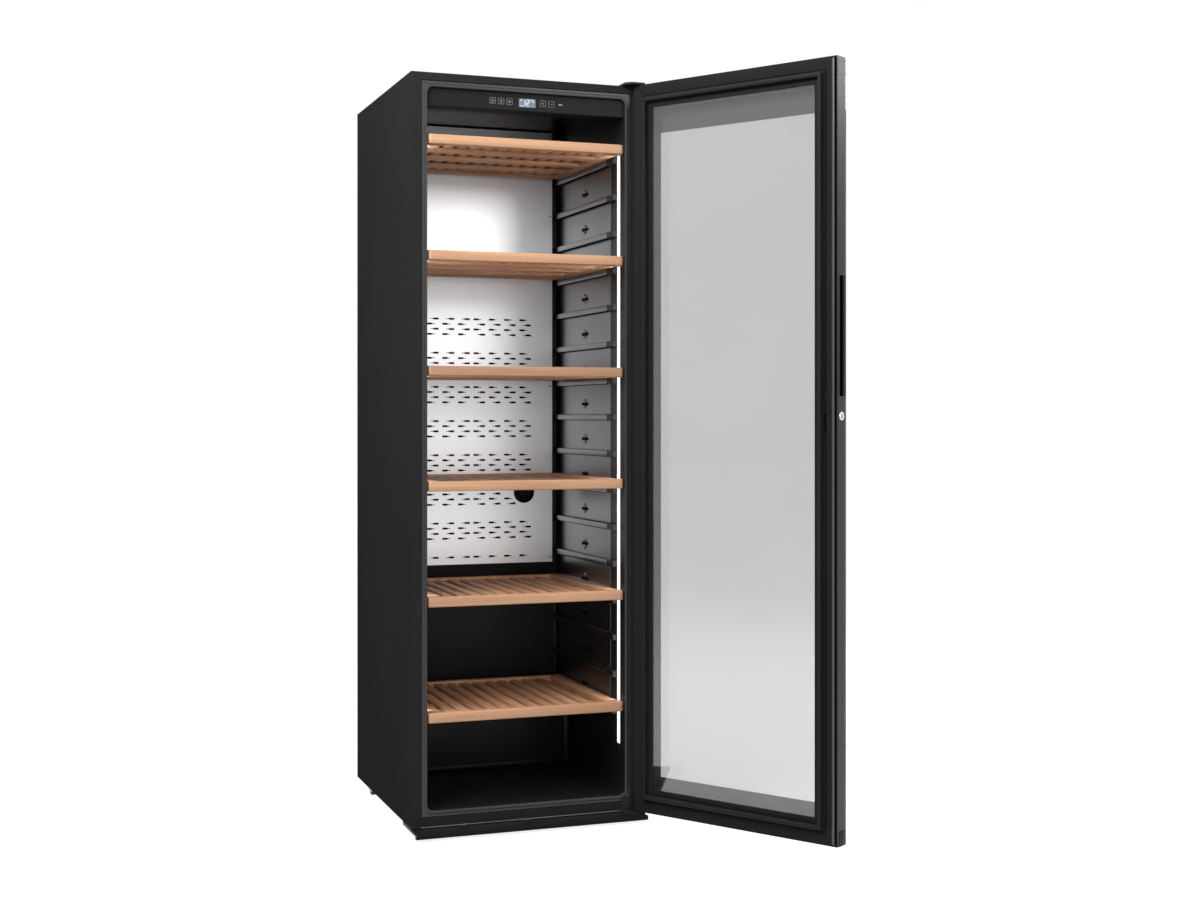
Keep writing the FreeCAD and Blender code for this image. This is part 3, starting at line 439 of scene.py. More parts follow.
# %% Brushed metal
def brushed(name, color, roughness, stretch, bump=0.12):
    """Brushed metal whose scratches run along the axis with the smallest stretch."""
    material, tree = empty_material(name)
    place = add(tree, "ShaderNodeTexCoord").outputs["Object"]
    lines = use(tree, BRUSHED_LINES, Vector=place, Stretch=stretch)
    rough = spread(tree, lines["Streak"], roughness * 0.8, roughness * 1.25)
    tone = spread(tree, lines["Streak"], 0.93, 1.05)
    metal = use(tree, SHADE, Color=(*color, 1), Amount=tone)["Color"]
    return principled(material, tree, {
        "Base Color": metal, "Roughness": rough, "Metallic": 1.0,
        "Normal": relief(tree, lines["Height"], bump),
    })


FINISH["brushed_plate"] = brushed("brushed_back_plate", (0.93, 0.94, 0.965), 0.34, (0.6, 0.6, 2600.0),
                                  bump=0.006)
# The cooling sheet behind the pierced plate is near black: painted shade, so that the slots read dark.
SHADE_DARK_COIL = satin("cooling_sheet_painted_shade", (0.012, 0.012, 0.013), 0.5)
RAIL_PANEL_METAL = brushed("brushed_rail_panel", (0.27, 0.275, 0.29), 0.3, (1.5, 1.5, 2600.0), bump=0.01)
FINISH["aluminium"] = brushed("rolled_aluminium", (0.78, 0.79, 0.80), 0.34, (6.0, 1600.0, 1600.0))
FINISH["runner_metal"] = brushed("runner_grey_steel", (0.55, 0.55, 0.57), 0.36, (1800.0, 4.0, 1800.0))
print("brushed metals ready")

# %% [markdown]
# The shelves are oiled beech. Each bar is cut along its own grain, so the pattern must turn with the bar. The
# bars therefore carry two values of their own, the place along the grain and a tone, and the finish reads
# those.


# %% Beech
def beech():
    """Oiled beech that reads each bar's own length and tone."""
    material, tree = empty_material("oiled_beech")
    along = add(tree, "ShaderNodeAttribute", attribute_name="grain")
    tone = add(tree, "ShaderNodeAttribute", attribute_name="tone")
    wood = use(tree, BEECH_GRAIN, Vector=along.outputs["Vector"], Tone=tone.outputs["Fac"])
    return principled(material, tree, {
        "Base Color": wood["Color"], "Roughness": wood["Roughness"],
        "Normal": relief(tree, wood["Height"], 0.15),
    })


FINISH["beech"] = beech()
print("beech ready")

# %% [markdown]
# Both panes are grey glass. Light goes through four faces on its way, and each one takes a share, so the tint
# is light. The inner pane has a metal coating against heat, which a higher index of refraction stands for.


# %% Glass
def grey_glass(name, tint, index):
    """Clear tinted glass with a faint unevenness in its colour."""
    material, tree = empty_material(name)
    place = add(tree, "ShaderNodeTexCoord").outputs["Object"]
    color = drifting(tree, place, tint, 2.0, 0.985, 1.015)
    return principled(material, tree, {
        "Base Color": color, "Roughness": 0.0, "IOR": index, "Transmission Weight": 1.0,
    })


OUTER_GLASS = grey_glass("outer_pane_grey", (0.555, 0.56, 0.562), 1.5)
INNER_GLASS = grey_glass("inner_pane_coated", (0.86, 0.86, 0.86), 1.75)
FINISH["smoked_glass"] = OUTER_GLASS
print("glass ready")

# %% [markdown]
# The light strips are milky plastic in front of small lamps, and the display is a dim blue window. Both glow
# by themselves, and faint dots in the glow hint at what is behind the plastic.


# %% Lit finishes
def glowing(name, color, strength, base, dots):
    """A lit plastic face with faint dots in its glow."""
    material, tree = empty_material(name)
    place = add(tree, "ShaderNodeTexCoord").outputs["Object"]
    light = drifting(tree, place, color, dots, 0.96, 1.03)
    return principled(material, tree, {
        "Base Color": (*base, 1), "Roughness": 0.35, "Emission Color": light, "Emission Strength": strength,
    })


FINISH["light"] = glowing("strip_light_diffuser", (1.0, 1.0, 1.0), 1.1, (0.8, 0.8, 0.8), 60.0)
FINISH["display"] = glowing("display_backlight", (0.34, 0.40, 0.52), 0.34, (0.05, 0.06, 0.075), 300.0)
ICON_PRINT = satin("icon_print_grey", (0.42, 0.425, 0.43), 0.5)
DIGIT_LIGHT = glowing("display_lit_segment", (0.72, 0.86, 1.0), 0.9, (0.2, 0.22, 0.24), 300.0)
print("finishes", len(FINISH))

# %% [markdown]
# ## Tools for making pieces
# A piece is a mesh drawn straight in the model's own place. These helpers merge its doubles, point its faces
# outwards, shade it smooth except at real edges, and make it ride on the right body of the model.

# %% Piece helpers
TINY, SMALL = 0.002 * MM, 0.005 * MM
SHARP_ANGLE = math.radians(32)


def smoothed(mesh):
    """The same mesh, smooth except at its sharp edges."""
    mesh.shade_smooth()
    mesh.set_sharp_from_angle(angle=SHARP_ANGLE)
    return mesh


def settle(bm, name):
    """A finished mesh from drawn faces: doubles merged, faces outwards, sharp edges kept."""
    bmesh.ops.remove_doubles(bm, verts=bm.verts, dist=TINY)
    bmesh.ops.recalc_face_normals(bm, faces=bm.faces)
    mesh = bpy.data.meshes.new(name)
    bm.to_mesh(mesh)
    bm.free()
    return smoothed(mesh)


def fit(name, mesh, slot, material=None, stands_for=(), body="cabinet"):
    """Put a mesh in the scene as a piece that rides on a body and may stand for model nodes.

    A mesh with no finish of its own gets the given one, or else its slot's usual one.
    """
    piece = bpy.data.objects.new(name, mesh)
    bpy.context.scene.collection.objects.link(piece)
    if material or not mesh.materials:
        mesh.materials.clear()
        mesh.materials.append(material or FINISH[slot])
    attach(piece, body)
    if stands_for:
        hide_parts(*stands_for)
    return piece


def hang(name, mesh, slot, material=None, stands_for=(), body="door"):
    """The same for a door piece, which was drawn with the door shut."""
    mesh.transform(DOOR_TURN)
    return fit(name, mesh, slot, material, stands_for, body)


def baked(holder):
    """A plain mesh of an object with its modifiers applied. The object is removed."""
    bpy.context.view_layer.update()
    graph = bpy.context.evaluated_depsgraph_get()
    mesh = bpy.data.meshes.new_from_object(holder.evaluated_get(graph), depsgraph=graph)
    bpy.data.objects.remove(holder)
    return mesh


def held(mesh):
    """A mesh in a scene object for a moment, so that modifiers can work on it."""
    holder = bpy.data.objects.new("holder", mesh)
    bpy.context.scene.collection.objects.link(holder)
    return holder


def bevelled(mesh, width, segments=2):
    """The same mesh with its sharp edges rounded and its flat faces still shaded flat."""
    holder = held(mesh)
    rounding = holder.modifiers.new("Round", "BEVEL")
    rounding.width, rounding.segments, rounding.limit_method = width, segments, "ANGLE"
    holder.modifiers.new("Shading", "WEIGHTED_NORMAL")
    return baked(holder)


def without(mesh, *cutters):
    """A mesh with other meshes cut out of it."""
    holder = held(mesh)
    tools = [held(cutter) for cutter in cutters]
    for tool in tools:
        cut = holder.modifiers.new("Cut", "BOOLEAN")
        cut.object, cut.solver = tool, "EXACT"
    mesh = baked(holder)
    for tool in tools:
        bpy.data.objects.remove(tool)
    return mesh


print("piece helpers ready")

# %% [markdown]
# Many panels have the right shape already and only lack rounded edges, which is what catches the light on the
# real thing. Such a node is copied, its triangles are merged back into flat faces, and its edges are rounded.


# %% Soften a node
def flat_copy(node, door=False):
    """A copy of a node's mesh as clean flat faces, drawn with the door shut if it is a door piece."""
    bm = bmesh.new()
    bm.from_mesh(frame["nodes"][node].data)
    if door:
        bm.transform(DOOR_TURN.inverted())
    bmesh.ops.remove_doubles(bm, verts=bm.verts, dist=SMALL)
    bmesh.ops.dissolve_limit(bm, angle_limit=math.radians(2), verts=bm.verts, edges=bm.edges)
    mesh = bpy.data.meshes.new(node)
    bm.to_mesh(mesh)
    bm.free()
    return smoothed(mesh)


def soften(node, width):
    """Stand in for a node with the same shape and rounded edges. Width is in millimetres."""
    mesh = bevelled(flat_copy(node), width * MM)
    return fit(f"{node}_finish", mesh, SLOT_OF[node], stands_for=[node], body=BODY_OF[node])


for node, width in (
    ("left_side_panel", 0.45), ("right_side_panel", 0.45), ("top_panel", 0.45), ("bottom_front_rail", 0.45),
    ("control_fascia", 0.8), ("top_hinge_bracket", 0.8), ("bottom_hinge_bracket", 0.7),
    ("liner_left_wall", 1.2), ("liner_right_wall", 1.2), ("fan_frame", 0.6), ("circulation_fan", 0.3),
    ("rear_panel", 0.3), ("display_module", 0.5),
):
    soften(node, width)
print("panels softened")

# %% [markdown]
# ## Drawn shapes
# Every new piece is drawn from loops of points that are joined one to the next. A straight bar has two loops,
# a turned foot has one for each point of its profile. So one helper draws them all, and the others only place
# points.

# %% Drawing helpers
PLANES = {"XZ": lambda a, b, depth: (a, depth, b), "YZ": lambda a, b, depth: (depth, a, b),
          "XY": lambda a, b, depth: (a, b, depth)}
ROUND = {"X": lambda a, b, along: (along, a, b), "Y": lambda a, b, along: (a, along, b),
         "Z": lambda a, b, along: (a, b, along)}


def bridged(bm, first, second):
    """Faces between two closed loops of the same length."""
    faces = []
    for i in range(len(first)):
        j = (i + 1) % len(first)
        faces.append(bm.faces.new((first[i], first[j], second[j], second[i])))
    return faces


def drawn(name, loops, closed=False):
    """A mesh through loops of points. It closes on itself, or is capped at both ends."""
    bm = bmesh.new()
    loops = [[bm.verts.new(point) for point in loop] for loop in loops]
    for first, second in zip(loops, loops[1:] + loops[:1] if closed else loops[1:]):
        bridged(bm, first, second)
    if not closed:
        bm.faces.new(loops[0])
        bm.faces.new(loops[-1])
    bmesh.ops.dissolve_degenerate(bm, edges=bm.edges, dist=TINY)
    return settle(bm, name)


def extruded(name, plane, outline, low, high):
    """A closed outline in a plane's two axes, carried from one depth to another."""
    return drawn(name, [[PLANES[plane](a, b, depth) for a, b in outline] for depth in (low, high)])


def block(low, high):
    """A plain box mesh, for cutting or as a start for rounding."""
    return extruded("block", "XY", [(low[0], low[1]), (high[0], low[1]), (high[0], high[1]),
                                    (low[0], high[1])],
                    low[2], high[2])


def in_mm(pairs, start=0.0):
    """Pairs of millimetres as metres. The second number of each pair is counted from a start."""
    return [(first * MM, start + second * MM) for first, second in pairs]


def turned(name, profile, centre, axis="Z", steps=48):
    """A round piece from (radius, distance along its axis) pairs. A profile that closes makes a ring."""
    closed = profile[0] == profile[-1]
    circle = [(math.cos(turn), math.sin(turn))
              for turn in (2 * math.pi * step / steps for step in range(steps))]
    return drawn(name, [
        [Vector(centre) + Vector(ROUND[axis](radius * a, radius * b, along)) for a, b in circle]
        for radius, along in (profile[:-1] if closed else profile)
    ], closed)


def joined(name, *meshes):
    """Several meshes as one."""
    bm = bmesh.new()
    for mesh in meshes:
        bm.from_mesh(mesh)
    together = bpy.data.meshes.new(name)
    bm.to_mesh(together)
    bm.free()
    return together


print("drawing helpers ready")

# %% [markdown]
# The rim of the opening, the lining of the door, the seal and the printed border of the glass are all one
# section carried round a rectangle. Each point of the section is a loop of its own, given by how far it is
# pulled in from the outer rectangle, how deep it lies, and how round its corners are.


# %% Frames round a rectangle
def ring_points(low, high, radius, steps):
    """Points round a rectangle with rounded corners, in the rectangle's own two axes."""
    points = []
    for a, b, start in ((high[0], high[1], 0), (low[0], high[1], 90), (low[0], low[1], 180),
                        (high[0], low[1], 270)):
        centre_a = a - radius if start in (0, 270) else a + radius
        centre_b = b - radius if start in (0, 90) else b + radius
        for step in range(steps + 1):
            turn = math.radians(start + 90 * step / steps)
            points.append((centre_a + radius * math.cos(turn), centre_b + radius * math.sin(turn)))
    return points


def lofted(name, plane, rings, steps=6, closed=True):
    """A shape through rings of (low, high, depth, radius)."""
    return drawn(name, [
        [PLANES[plane](a, b, depth) for a, b in ring_points(low, high, radius, steps)]
        for low, high, depth, radius in rings
    ], closed)


def swept(name, section, low, high, steps):
    """An upright frame in a box, its section in millimetres: (inset, depth from the front, radius)."""
    rings = []
    for point in section:
        inset, depth, radius = (value * MM for value in point)
        rings.append(((low.x + inset, low.z + inset), (high.x - inset, high.z - inset), low.y + depth,
                      radius))
    return lofted(name, "XZ", rings, steps)


MITRE_GAP = 0.12 * MM


def mitred(name, section, low, high, dark):
    """An upright frame in four mitred lengths. Section parts named in dark take a second finish."""
    bm = bmesh.new()
    for corner in range(4):
        ends = []
        for end in (corner, (corner + 1) % 4):
            ends.append([])
            for inset, depth in section:
                x = high.x - inset if end in (0, 3) else low.x + inset
                z = high.z - inset if end in (0, 1) else low.z + inset
                ends[-1].append(Vector((x, low.y + depth, z)))
        start, finish = [], []
        for near, far in zip(*ends):
            step = (far - near).normalized() * MITRE_GAP
            start.append(bm.verts.new(near + step))
            finish.append(bm.verts.new(far - step))
        for i, face in enumerate(bridged(bm, start, finish)):
            face.material_index = 1 if i in dark else 0
        bm.faces.new(start)
        bm.faces.new(finish)
    return settle(bm, name)


print("frame helpers ready")

# %% [markdown]
# ## The opening
# The rim round the opening is one plastic moulding. From the steel flange inwards it has a black gap, a flat
# band, a fine groove, and a rounded bead with soft corners that the door seal sits against. The lock's cam
# drops into a slot.

# %% Rim of the opening
rim_low, rim_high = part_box("front_frame")
FRONT = rim_low.y
CAM_SLOT_FOOT, CAM_SLOT_TOP = 1.014, 1.032
rim_section = [
    (0, 8, 0), (0, 4.4, 0), (1.6, 4.4, 0), (1.8, 1.0, 0), (2.4, 0.5, 0), (6.6, 0.5, 0), (7.0, 1.4, 0),
    (7.6, 1.4, 23.4), (8.2, 0.5, 22.8), (9.6, 0.0, 21.4), (13.0, 0.0, 18), (14.9, 0.7, 16.1),
    (15.8, 2.2, 15.2), (16, 4.0, 15), (16, 8, 15),
]
rim = swept("rim", rim_section, rim_low, rim_high, 10)
latch_low, latch_high = door_box("lock_barrel")
latch_x = HINGE_AXIS.x + latch_high.x
cam_slot = block((latch_x - 4 * MM, FRONT - 9 * MM, CAM_SLOT_FOOT),
                 (latch_x + 1 * MM, FRONT + 9 * MM, CAM_SLOT_TOP))
rim_finish = satin("rim_moulding", (0.022, 0.022, 0.0235), 0.3, shine=0.45)
fit("opening_rim", smoothed(without(rim, cam_slot)), "black_plastic", rim_finish, ["front_frame"])
print("rim", rim_low, rim_high)

# %% [markdown]
# ## The door
# Seen from inside, the door is a flush dark band, a near-black groove, the raised seal, and a flat border to the
# glass. The groove's black stands for the seal's black root and for painted shade. The lining is cut from four
# straight lengths, so its corners show fine mitre joints.

# %% Door lining
lining_low, lining_high = door_box("door_lining")
DOOR_LOW, DOOR_HIGH = (lining_low.x, lining_low.z), (lining_high.x, lining_high.z)
INSIDE, BACKING = lining_high.y, lining_low.y
GROOVE_NEAR, GROOVE_FAR, GROOVE_ENDS = DOOR_LOW[0] + 1.2 * MM, DOOR_LOW[0] + 6.4 * MM, 5 * MM
sight = (door_box("door_glass_spacer")[0].x - DOOR_LOW[0] + 5.7 * MM) / MM
lining_section = [
    (0, 0), (0, 0.9), (0.7, 1.5), (28.6, 1.5), (29.2, 1.2), (29.3, 0.15), (31.7, 0.15), (31.8, 1.2),
    (32.3, 1.5), (sight - 1, 1.5), (sight, 0.8), (sight, 0),
]
# The groove's three faces take the near-black finish: the seal's black root and painted shade.
lining = mitred("lining", in_mm(lining_section), lining_low, lining_high, dark=(4, 5, 6))
for finish in (FINISH["door_frame"], PAINTED_SHADE_BLACK):
    lining.materials.append(finish)
cam_hole = block((latch_high.x - 4 * MM, BACKING - 2 * MM, latch_low.z - 1 * MM),
                 (latch_high.x + 1 * MM, INSIDE + 2 * MM, latch_high.z))
edge_slot = block((GROOVE_NEAR, BACKING - 2 * MM, DOOR_LOW[1] + GROOVE_ENDS),
                  (GROOVE_FAR, INSIDE + 2 * MM, DOOR_HIGH[1] - GROOVE_ENDS))
hang("door_lining_frame", smoothed(without(lining, cam_hole, edge_slot)), "door_frame",
     stands_for=["door_lining"])
print("door lining", DOOR_LOW, DOOR_HIGH, "sight", sight)

# %% [markdown]
# The seal is a hollow rubber bulb on a narrow foot. Only its outline is ever in sight, so its section is a
# plain closed curve, carried round the door with small round corners where the real one is welded.

# %% Door seal
seal_low, seal_high = door_box("door_gasket")
seal_section = [
    (0.4, 0, 0), (0, 2.0, 0), (1.6, 3.4, 0.5), (0.9, 5.0, 1), (0, 6.6, 1.5), (0, 12.4, 1.5), (0.8, 14.0, 2),
    (2.4, 14.7, 2.5), (7.6, 14.7, 2.5), (9.2, 14.0, 2), (10, 12.4, 1.5), (10, 6.6, 1.5), (9.1, 5.0, 1),
    (8.4, 3.4, 0.5), (10, 2.0, 0), (9.6, 0, 0),
]
hang("door_seal", swept("seal", seal_section, seal_low, seal_high, 3), "seal_rubber",
     stands_for=["door_gasket"])
print("seal", seal_low, seal_high)

# %% [markdown]
# The outer pane has a black border printed on its inner side, which hides the spacer and the lining from
# outside. From inside it shows as a grey band through the inner pane, wide at the top and the foot.

# %% Printed border
pane_low, pane_high = door_box("door_inner_glass")
print_back = door_box("door_outer_glass")[1].y
print_face = print_back + 0.15 * MM
PRINT_SIDE, PRINT_TOP, PRINT_FOOT, PRINT_CORNER = 58 * MM, 121 * MM, 88 * MM, 4 * MM
clear = ((DOOR_LOW[0] + PRINT_SIDE, DOOR_LOW[1] + PRINT_FOOT),
         (DOOR_HIGH[0] - PRINT_SIDE, DOOR_HIGH[1] - PRINT_TOP))
border = ((pane_low.x, pane_low.z), (pane_high.x, pane_high.z))
printed = lofted("print", "XZ", [
    (*border, print_back, 0), (*border, print_face, 0),
    (*clear, print_face, PRINT_CORNER), (*clear, print_back, PRINT_CORNER),
])
hang("door_glass_print", printed, "black_plastic",
     satin("glass_print_black", (0.032, 0.032, 0.034), 0.4, bump=0.0))
print("clear glass from", clear)

# %% [markdown]
# The door's free edge is an aluminium profile. Along its inner corner runs a rounded bead that catches the
# light, in a lighter black as a painted highlight, and beside the bead a deep groove lined in near black as
# painted shade. Halfway up, a long finger recess with a thin raised lip takes the profile's place.

# %% Door edge profile
edge_low, edge_high = door_box("door_edge_profile")
grip_low, grip_high = door_box("door_grip")
EDGE_X, EDGE_BACK, CORE_Y = edge_low.x, edge_high.x, edge_low.y
GROOVE_OUT, GROOVE_FLOOR, WALL = BACKING - 4.9 * MM, BACKING - 3.9 * MM, 0.25 * MM
corner = extruded("corner", "XY", [
    (EDGE_X, GROOVE_OUT), (EDGE_X, BACKING), (GROOVE_NEAR, BACKING), (GROOVE_NEAR, GROOVE_FLOOR),
    (GROOVE_FAR, GROOVE_FLOOR), (GROOVE_FAR, BACKING), (EDGE_BACK, BACKING), (EDGE_BACK, GROOVE_OUT),
], DOOR_LOW[1], DOOR_HIGH[1])
side_outline = [
    (EDGE_X + 0.8 * MM, CORE_Y), (EDGE_X, CORE_Y + 0.8 * MM), (EDGE_X, GROOVE_OUT - 0.5 * MM),
    (EDGE_X + 0.5 * MM, GROOVE_OUT), (EDGE_BACK, GROOVE_OUT), (EDGE_BACK, CORE_Y),
]
lower_side = extruded("lower", "XY", side_outline, DOOR_LOW[1], grip_low.z)
upper_side = extruded("upper", "XY", side_outline, grip_high.z, DOOR_HIGH[1])
lock_low, lock_high = door_box("lock_housing")
lock_centre = (lock_low + lock_high) / 2
LOCK_AXIS = (0, lock_centre.y, lock_centre.z)
LOCK_HOLE = 10.05 * MM
lock_hole = turned("hole", [(LOCK_HOLE, EDGE_X - 2 * MM), (LOCK_HOLE, EDGE_BACK + 1 * MM)], LOCK_AXIS, "X")
lower_side = smoothed(without(lower_side, lock_hole))
hang("door_edge_sides", joined("door_edge", corner, lower_side, upper_side), "edge_metal",
     stands_for=["door_edge_profile"])
print("edge profile", edge_low, edge_high)

# %% [markdown]
# The bead is half an ellipse drawn with a sine and a cosine; its lighter black is a painted highlight on top of
# its real shine. The groove is a thin near-black channel laid in the slot that was cut for it: painted shade,
# so that it stays black from every side.

# %% Bead and groove
BEAD_SETBACK, BEAD_HALF, BEAD_HEIGHT, BEAD_STEPS = 4.0 * MM, 3.6 * MM, 1.5 * MM, 10
bead = extruded("bead", "XY", [
    (GROOVE_FAR + BEAD_SETBACK + BEAD_HALF * math.cos(turn), INSIDE - 0.1 * MM + BEAD_HEIGHT * math.sin(turn))
    for turn in (math.pi * step / BEAD_STEPS for step in range(BEAD_STEPS + 1))
], DOOR_LOW[1] + GROOVE_ENDS, DOOR_HIGH[1] - GROOVE_ENDS)
# Lighter black than the edge metal: a painted highlight on the bead.
hang("door_edge_bead", smoothed(bead), "edge_metal",
     satin("bead_black_painted_highlight", (0.05, 0.05, 0.052), 0.28, shine=0.5))
# A near-black channel in the groove: painted shade.
groove_mouth = INSIDE - WALL
groove = extruded("groove", "XY", [
    (GROOVE_NEAR, groove_mouth), (GROOVE_NEAR, GROOVE_FLOOR), (GROOVE_FAR, GROOVE_FLOOR),
    (GROOVE_FAR, groove_mouth), (GROOVE_FAR - WALL, groove_mouth), (GROOVE_FAR - WALL, GROOVE_FLOOR + WALL),
    (GROOVE_NEAR + WALL, GROOVE_FLOOR + WALL), (GROOVE_NEAR + WALL, groove_mouth),
], DOOR_LOW[1] + GROOVE_ENDS + 0.1 * MM, DOOR_HIGH[1] - GROOVE_ENDS - 0.1 * MM)
hang("door_edge_groove_shade", groove, "black_plastic", PAINTED_SHADE_BLACK)
print("groove", GROOVE_NEAR, GROOVE_FAR)

# %% [markdown]
# The finger recess is one soft-cornered pocket, which narrows a little as it goes in. A loft through five
# rounded rectangles makes it in one piece, and a second loft makes the thin lip round its mouth.

# %% Finger recess
RECESS_HALF, RECESS_END = 10 * MM, 1.5 * MM


def around(margin):
    """The recess mouth's low and high corner, made larger by a margin in millimetres."""
    half, end = RECESS_HALF + margin * MM, RECESS_END - margin * MM
    return (lock_centre.y - half, grip_low.z + end), (lock_centre.y + half, grip_high.z - end)


grip_outer = ((CORE_Y, grip_low.z), (GROOVE_OUT, grip_high.z))
grip = lofted("grip", "YZ", [
    (*grip_outer, EDGE_BACK, 0), (*grip_outer, EDGE_X, 0), (*around(0), EDGE_X, 3 * MM),
    (*around(-0.6), EDGE_X + 0.8 * MM, 2.5 * MM), (*around(-1.2), EDGE_X + 18 * MM, 2 * MM),
], steps=5, closed=False)
hang("door_grip_recess", grip, "door_frame", FINISH["black_plastic"], ["door_grip"])
lip = lofted("lip", "YZ", [
    (*around(2.4), EDGE_X, 4 * MM), (*around(2.1), EDGE_X - 0.5 * MM, 4 * MM),
    (*around(0.4), EDGE_X - 0.5 * MM, 3 * MM), (*around(-0.5), EDGE_X + 1.2 * MM, 2.6 * MM),
    (*around(0.1), EDGE_X + 1.4 * MM, 3 * MM),
], steps=5)
hang("door_grip_lip", lip, "edge_metal", satin("grip_lip_grey", (0.10, 0.10, 0.105), 0.3))
print("grip", grip_low, grip_high)

# %% [markdown]
# A chromed ring surrounds the lock. It is turned, like the rollers and feet below: a profile spun round an
# axis.

# %% Lock
ring_profile = [
    (6.56, 0.6), (7.0, 0.15), (7.8, 0.0), (9.0, 0.0), (9.7, 0.3), (10.0, 0.9), (10.0, 31.4), (6.56, 31.4),
    (6.56, 0.6),
]
lock_ring = turned("lock_ring", in_mm(ring_profile, lock_low.x), LOCK_AXIS, "X", 64)
hang("lock_ring", lock_ring, "chrome", stands_for=["lock_housing"])
barrel = bevelled(flat_copy("lock_barrel", door=True), 0.25 * MM)
core_finish = satin("lock_core_steel", (0.55, 0.56, 0.58), 0.25, metallic=1.0)
hang("lock_core", barrel, "chrome", core_finish, ["lock_barrel"], body="door_lock")
print("lock", lock_centre)

# %% [markdown]
# Under the door sit a long glide that lifts it the last millimetre as it shuts, three stud heads, and a cap
# over the end of the edge profile.

# %% Small fittings under the door
FOOT_Z = DOOR_LOW[1]
GLIDE_X, GLIDE_LENGTH, GLIDE_Y = EDGE_X + 84 * MM, 45 * MM, (CORE_Y + 6 * MM, CORE_Y + 20 * MM)


def glide_ring(inset, drop, radius):
    """One ring of the glide, pulled in and lowered by millimetres."""
    inset *= MM
    low = (GLIDE_X + inset, GLIDE_Y[0] + inset)
    return low, (GLIDE_X + GLIDE_LENGTH - inset, GLIDE_Y[1] - inset), FOOT_Z - drop * MM, radius * MM


glide = lofted("glide", "XY", [glide_ring(0, 0, 6), glide_ring(0, 1.4, 6), glide_ring(2, 2.0, 4)], steps=5,
               closed=False)
stud_profile = in_mm([(0, -1.8), (2.6, -1.8), (3.6, -1.0), (3.6, 0.0), (0, 0.0)], FOOT_Z)
studs = [turned("stud", stud_profile, (x, -12 * MM, 0), "Z", 20)
         for x in (-38 * MM, -58 * MM, EDGE_X + 30 * MM)]
hang("door_glides", joined("door_glides", glide, *studs), "black_plastic")
cap_low, cap_high = (EDGE_X, CORE_Y + 0.2 * MM), (EDGE_X + 16 * MM, GROOVE_OUT - 0.2 * MM)
cap_proud = (cap_low[0] - 0.6 * MM, cap_low[1])
cap = lofted("cap", "XY", [
    (cap_low, cap_high, FOOT_Z - 0.6 * MM, 2 * MM), (cap_proud, cap_high, FOOT_Z + 0.4 * MM, 2 * MM),
    (cap_proud, cap_high, FOOT_Z + 34 * MM, 2 * MM), (cap_low, cap_high, FOOT_Z + 36 * MM, 2 * MM),
], steps=4, closed=False)
hang("door_corner_cap", cap, "black_plastic")
print("fittings under the door at", FOOT_Z)

# %% [markdown]
# ## Things that repeat
# Slats, rails, perforations, fins and screws repeat by a rule, so Geometry Nodes make them. Each tree has
# named inputs for its sizes. The result is turned into a plain mesh, and the tree is not kept on the piece.


# %% Geometry tree helpers
def geometry_tree(name, inputs):
    """An empty geometry tree with named inputs."""
    tree = bpy.data.node_groups.new(name, "GeometryNodeTree")
    tree.interface.new_socket("Geometry", in_out="INPUT", socket_type="NodeSocketGeometry")
    for label, kind in inputs.items():
        tree.interface.new_socket(label, in_out="INPUT", socket_type=f"NodeSocket{kind}")
    tree.interface.new_socket("Geometry", in_out="OUTPUT", socket_type="NodeSocketGeometry")
    return tree, tree.nodes.new("NodeGroupInput").outputs


def geo(tree, kind, inputs, **settings):
    """Add one geometry node and give its first output."""
    return add(tree, f"GeometryNode{kind}", inputs, **settings).outputs[0]


def finished(tree, geometry, material):
    """Instances turned into real geometry with a finish."""
    real = geo(tree, "RealizeInstances", {"Geometry": geometry})
    return geo(tree, "SetMaterial", {"Geometry": real, "Material": material})


def close_tree(tree, geometry, material):
    """End a tree in real geometry with its finish."""
    add(tree, "NodeGroupOutput", {"Geometry": finished(tree, geometry, material)})
    return tree


def grow(mesh, *steps):
    """Run geometry trees on a mesh, one after another, and give the result as a plain mesh."""
    holder = held(mesh)
    for tree, values in steps:
        modifier = holder.modifiers.new(tree.name, "NODES")
        modifier.node_group = tree
        known = {item.name: item.identifier for item in tree.interface.items_tree if item.in_out == "INPUT"}
        for name, value in values.items():
            modifier[known[name]] = value
    return smoothed(baked(holder))


def thick(tree, flat, depth):
    """A flat face made solid: pushed out along its normal, with its own underside."""
    pushed = geo(tree, "ExtrudeMesh", {"Mesh": flat, "Offset Scale": depth, "Individual": False})
    under = geo(tree, "FlipFaces", {"Mesh": flat})
    both = geo(tree, "JoinGeometry", {"Geometry": [pushed, under]})
    return geo(tree, "MergeByDistance", {"Geometry": both, "Distance": SMALL})


def row_of(tree, given, instance):
    """An instance at every place of a row that has a count, a first place and a step."""
    row = {"Count": given["Count"], "Start Location": given["First"], "Offset": given["Step"]}
    points = geo(tree, "MeshLine", row, mode="OFFSET", count_mode="TOTAL")
    return geo(tree, "InstanceOnPoints", {"Points": points, **instance})


print("tree helpers ready")

# %% [markdown]
# Slats, battens, rails, fins and tubes are all the same thing: equal bars with soft edges, set out in a row.
# The tree draws one section, pushes it out to a bar, and puts the bar on every point of a line.


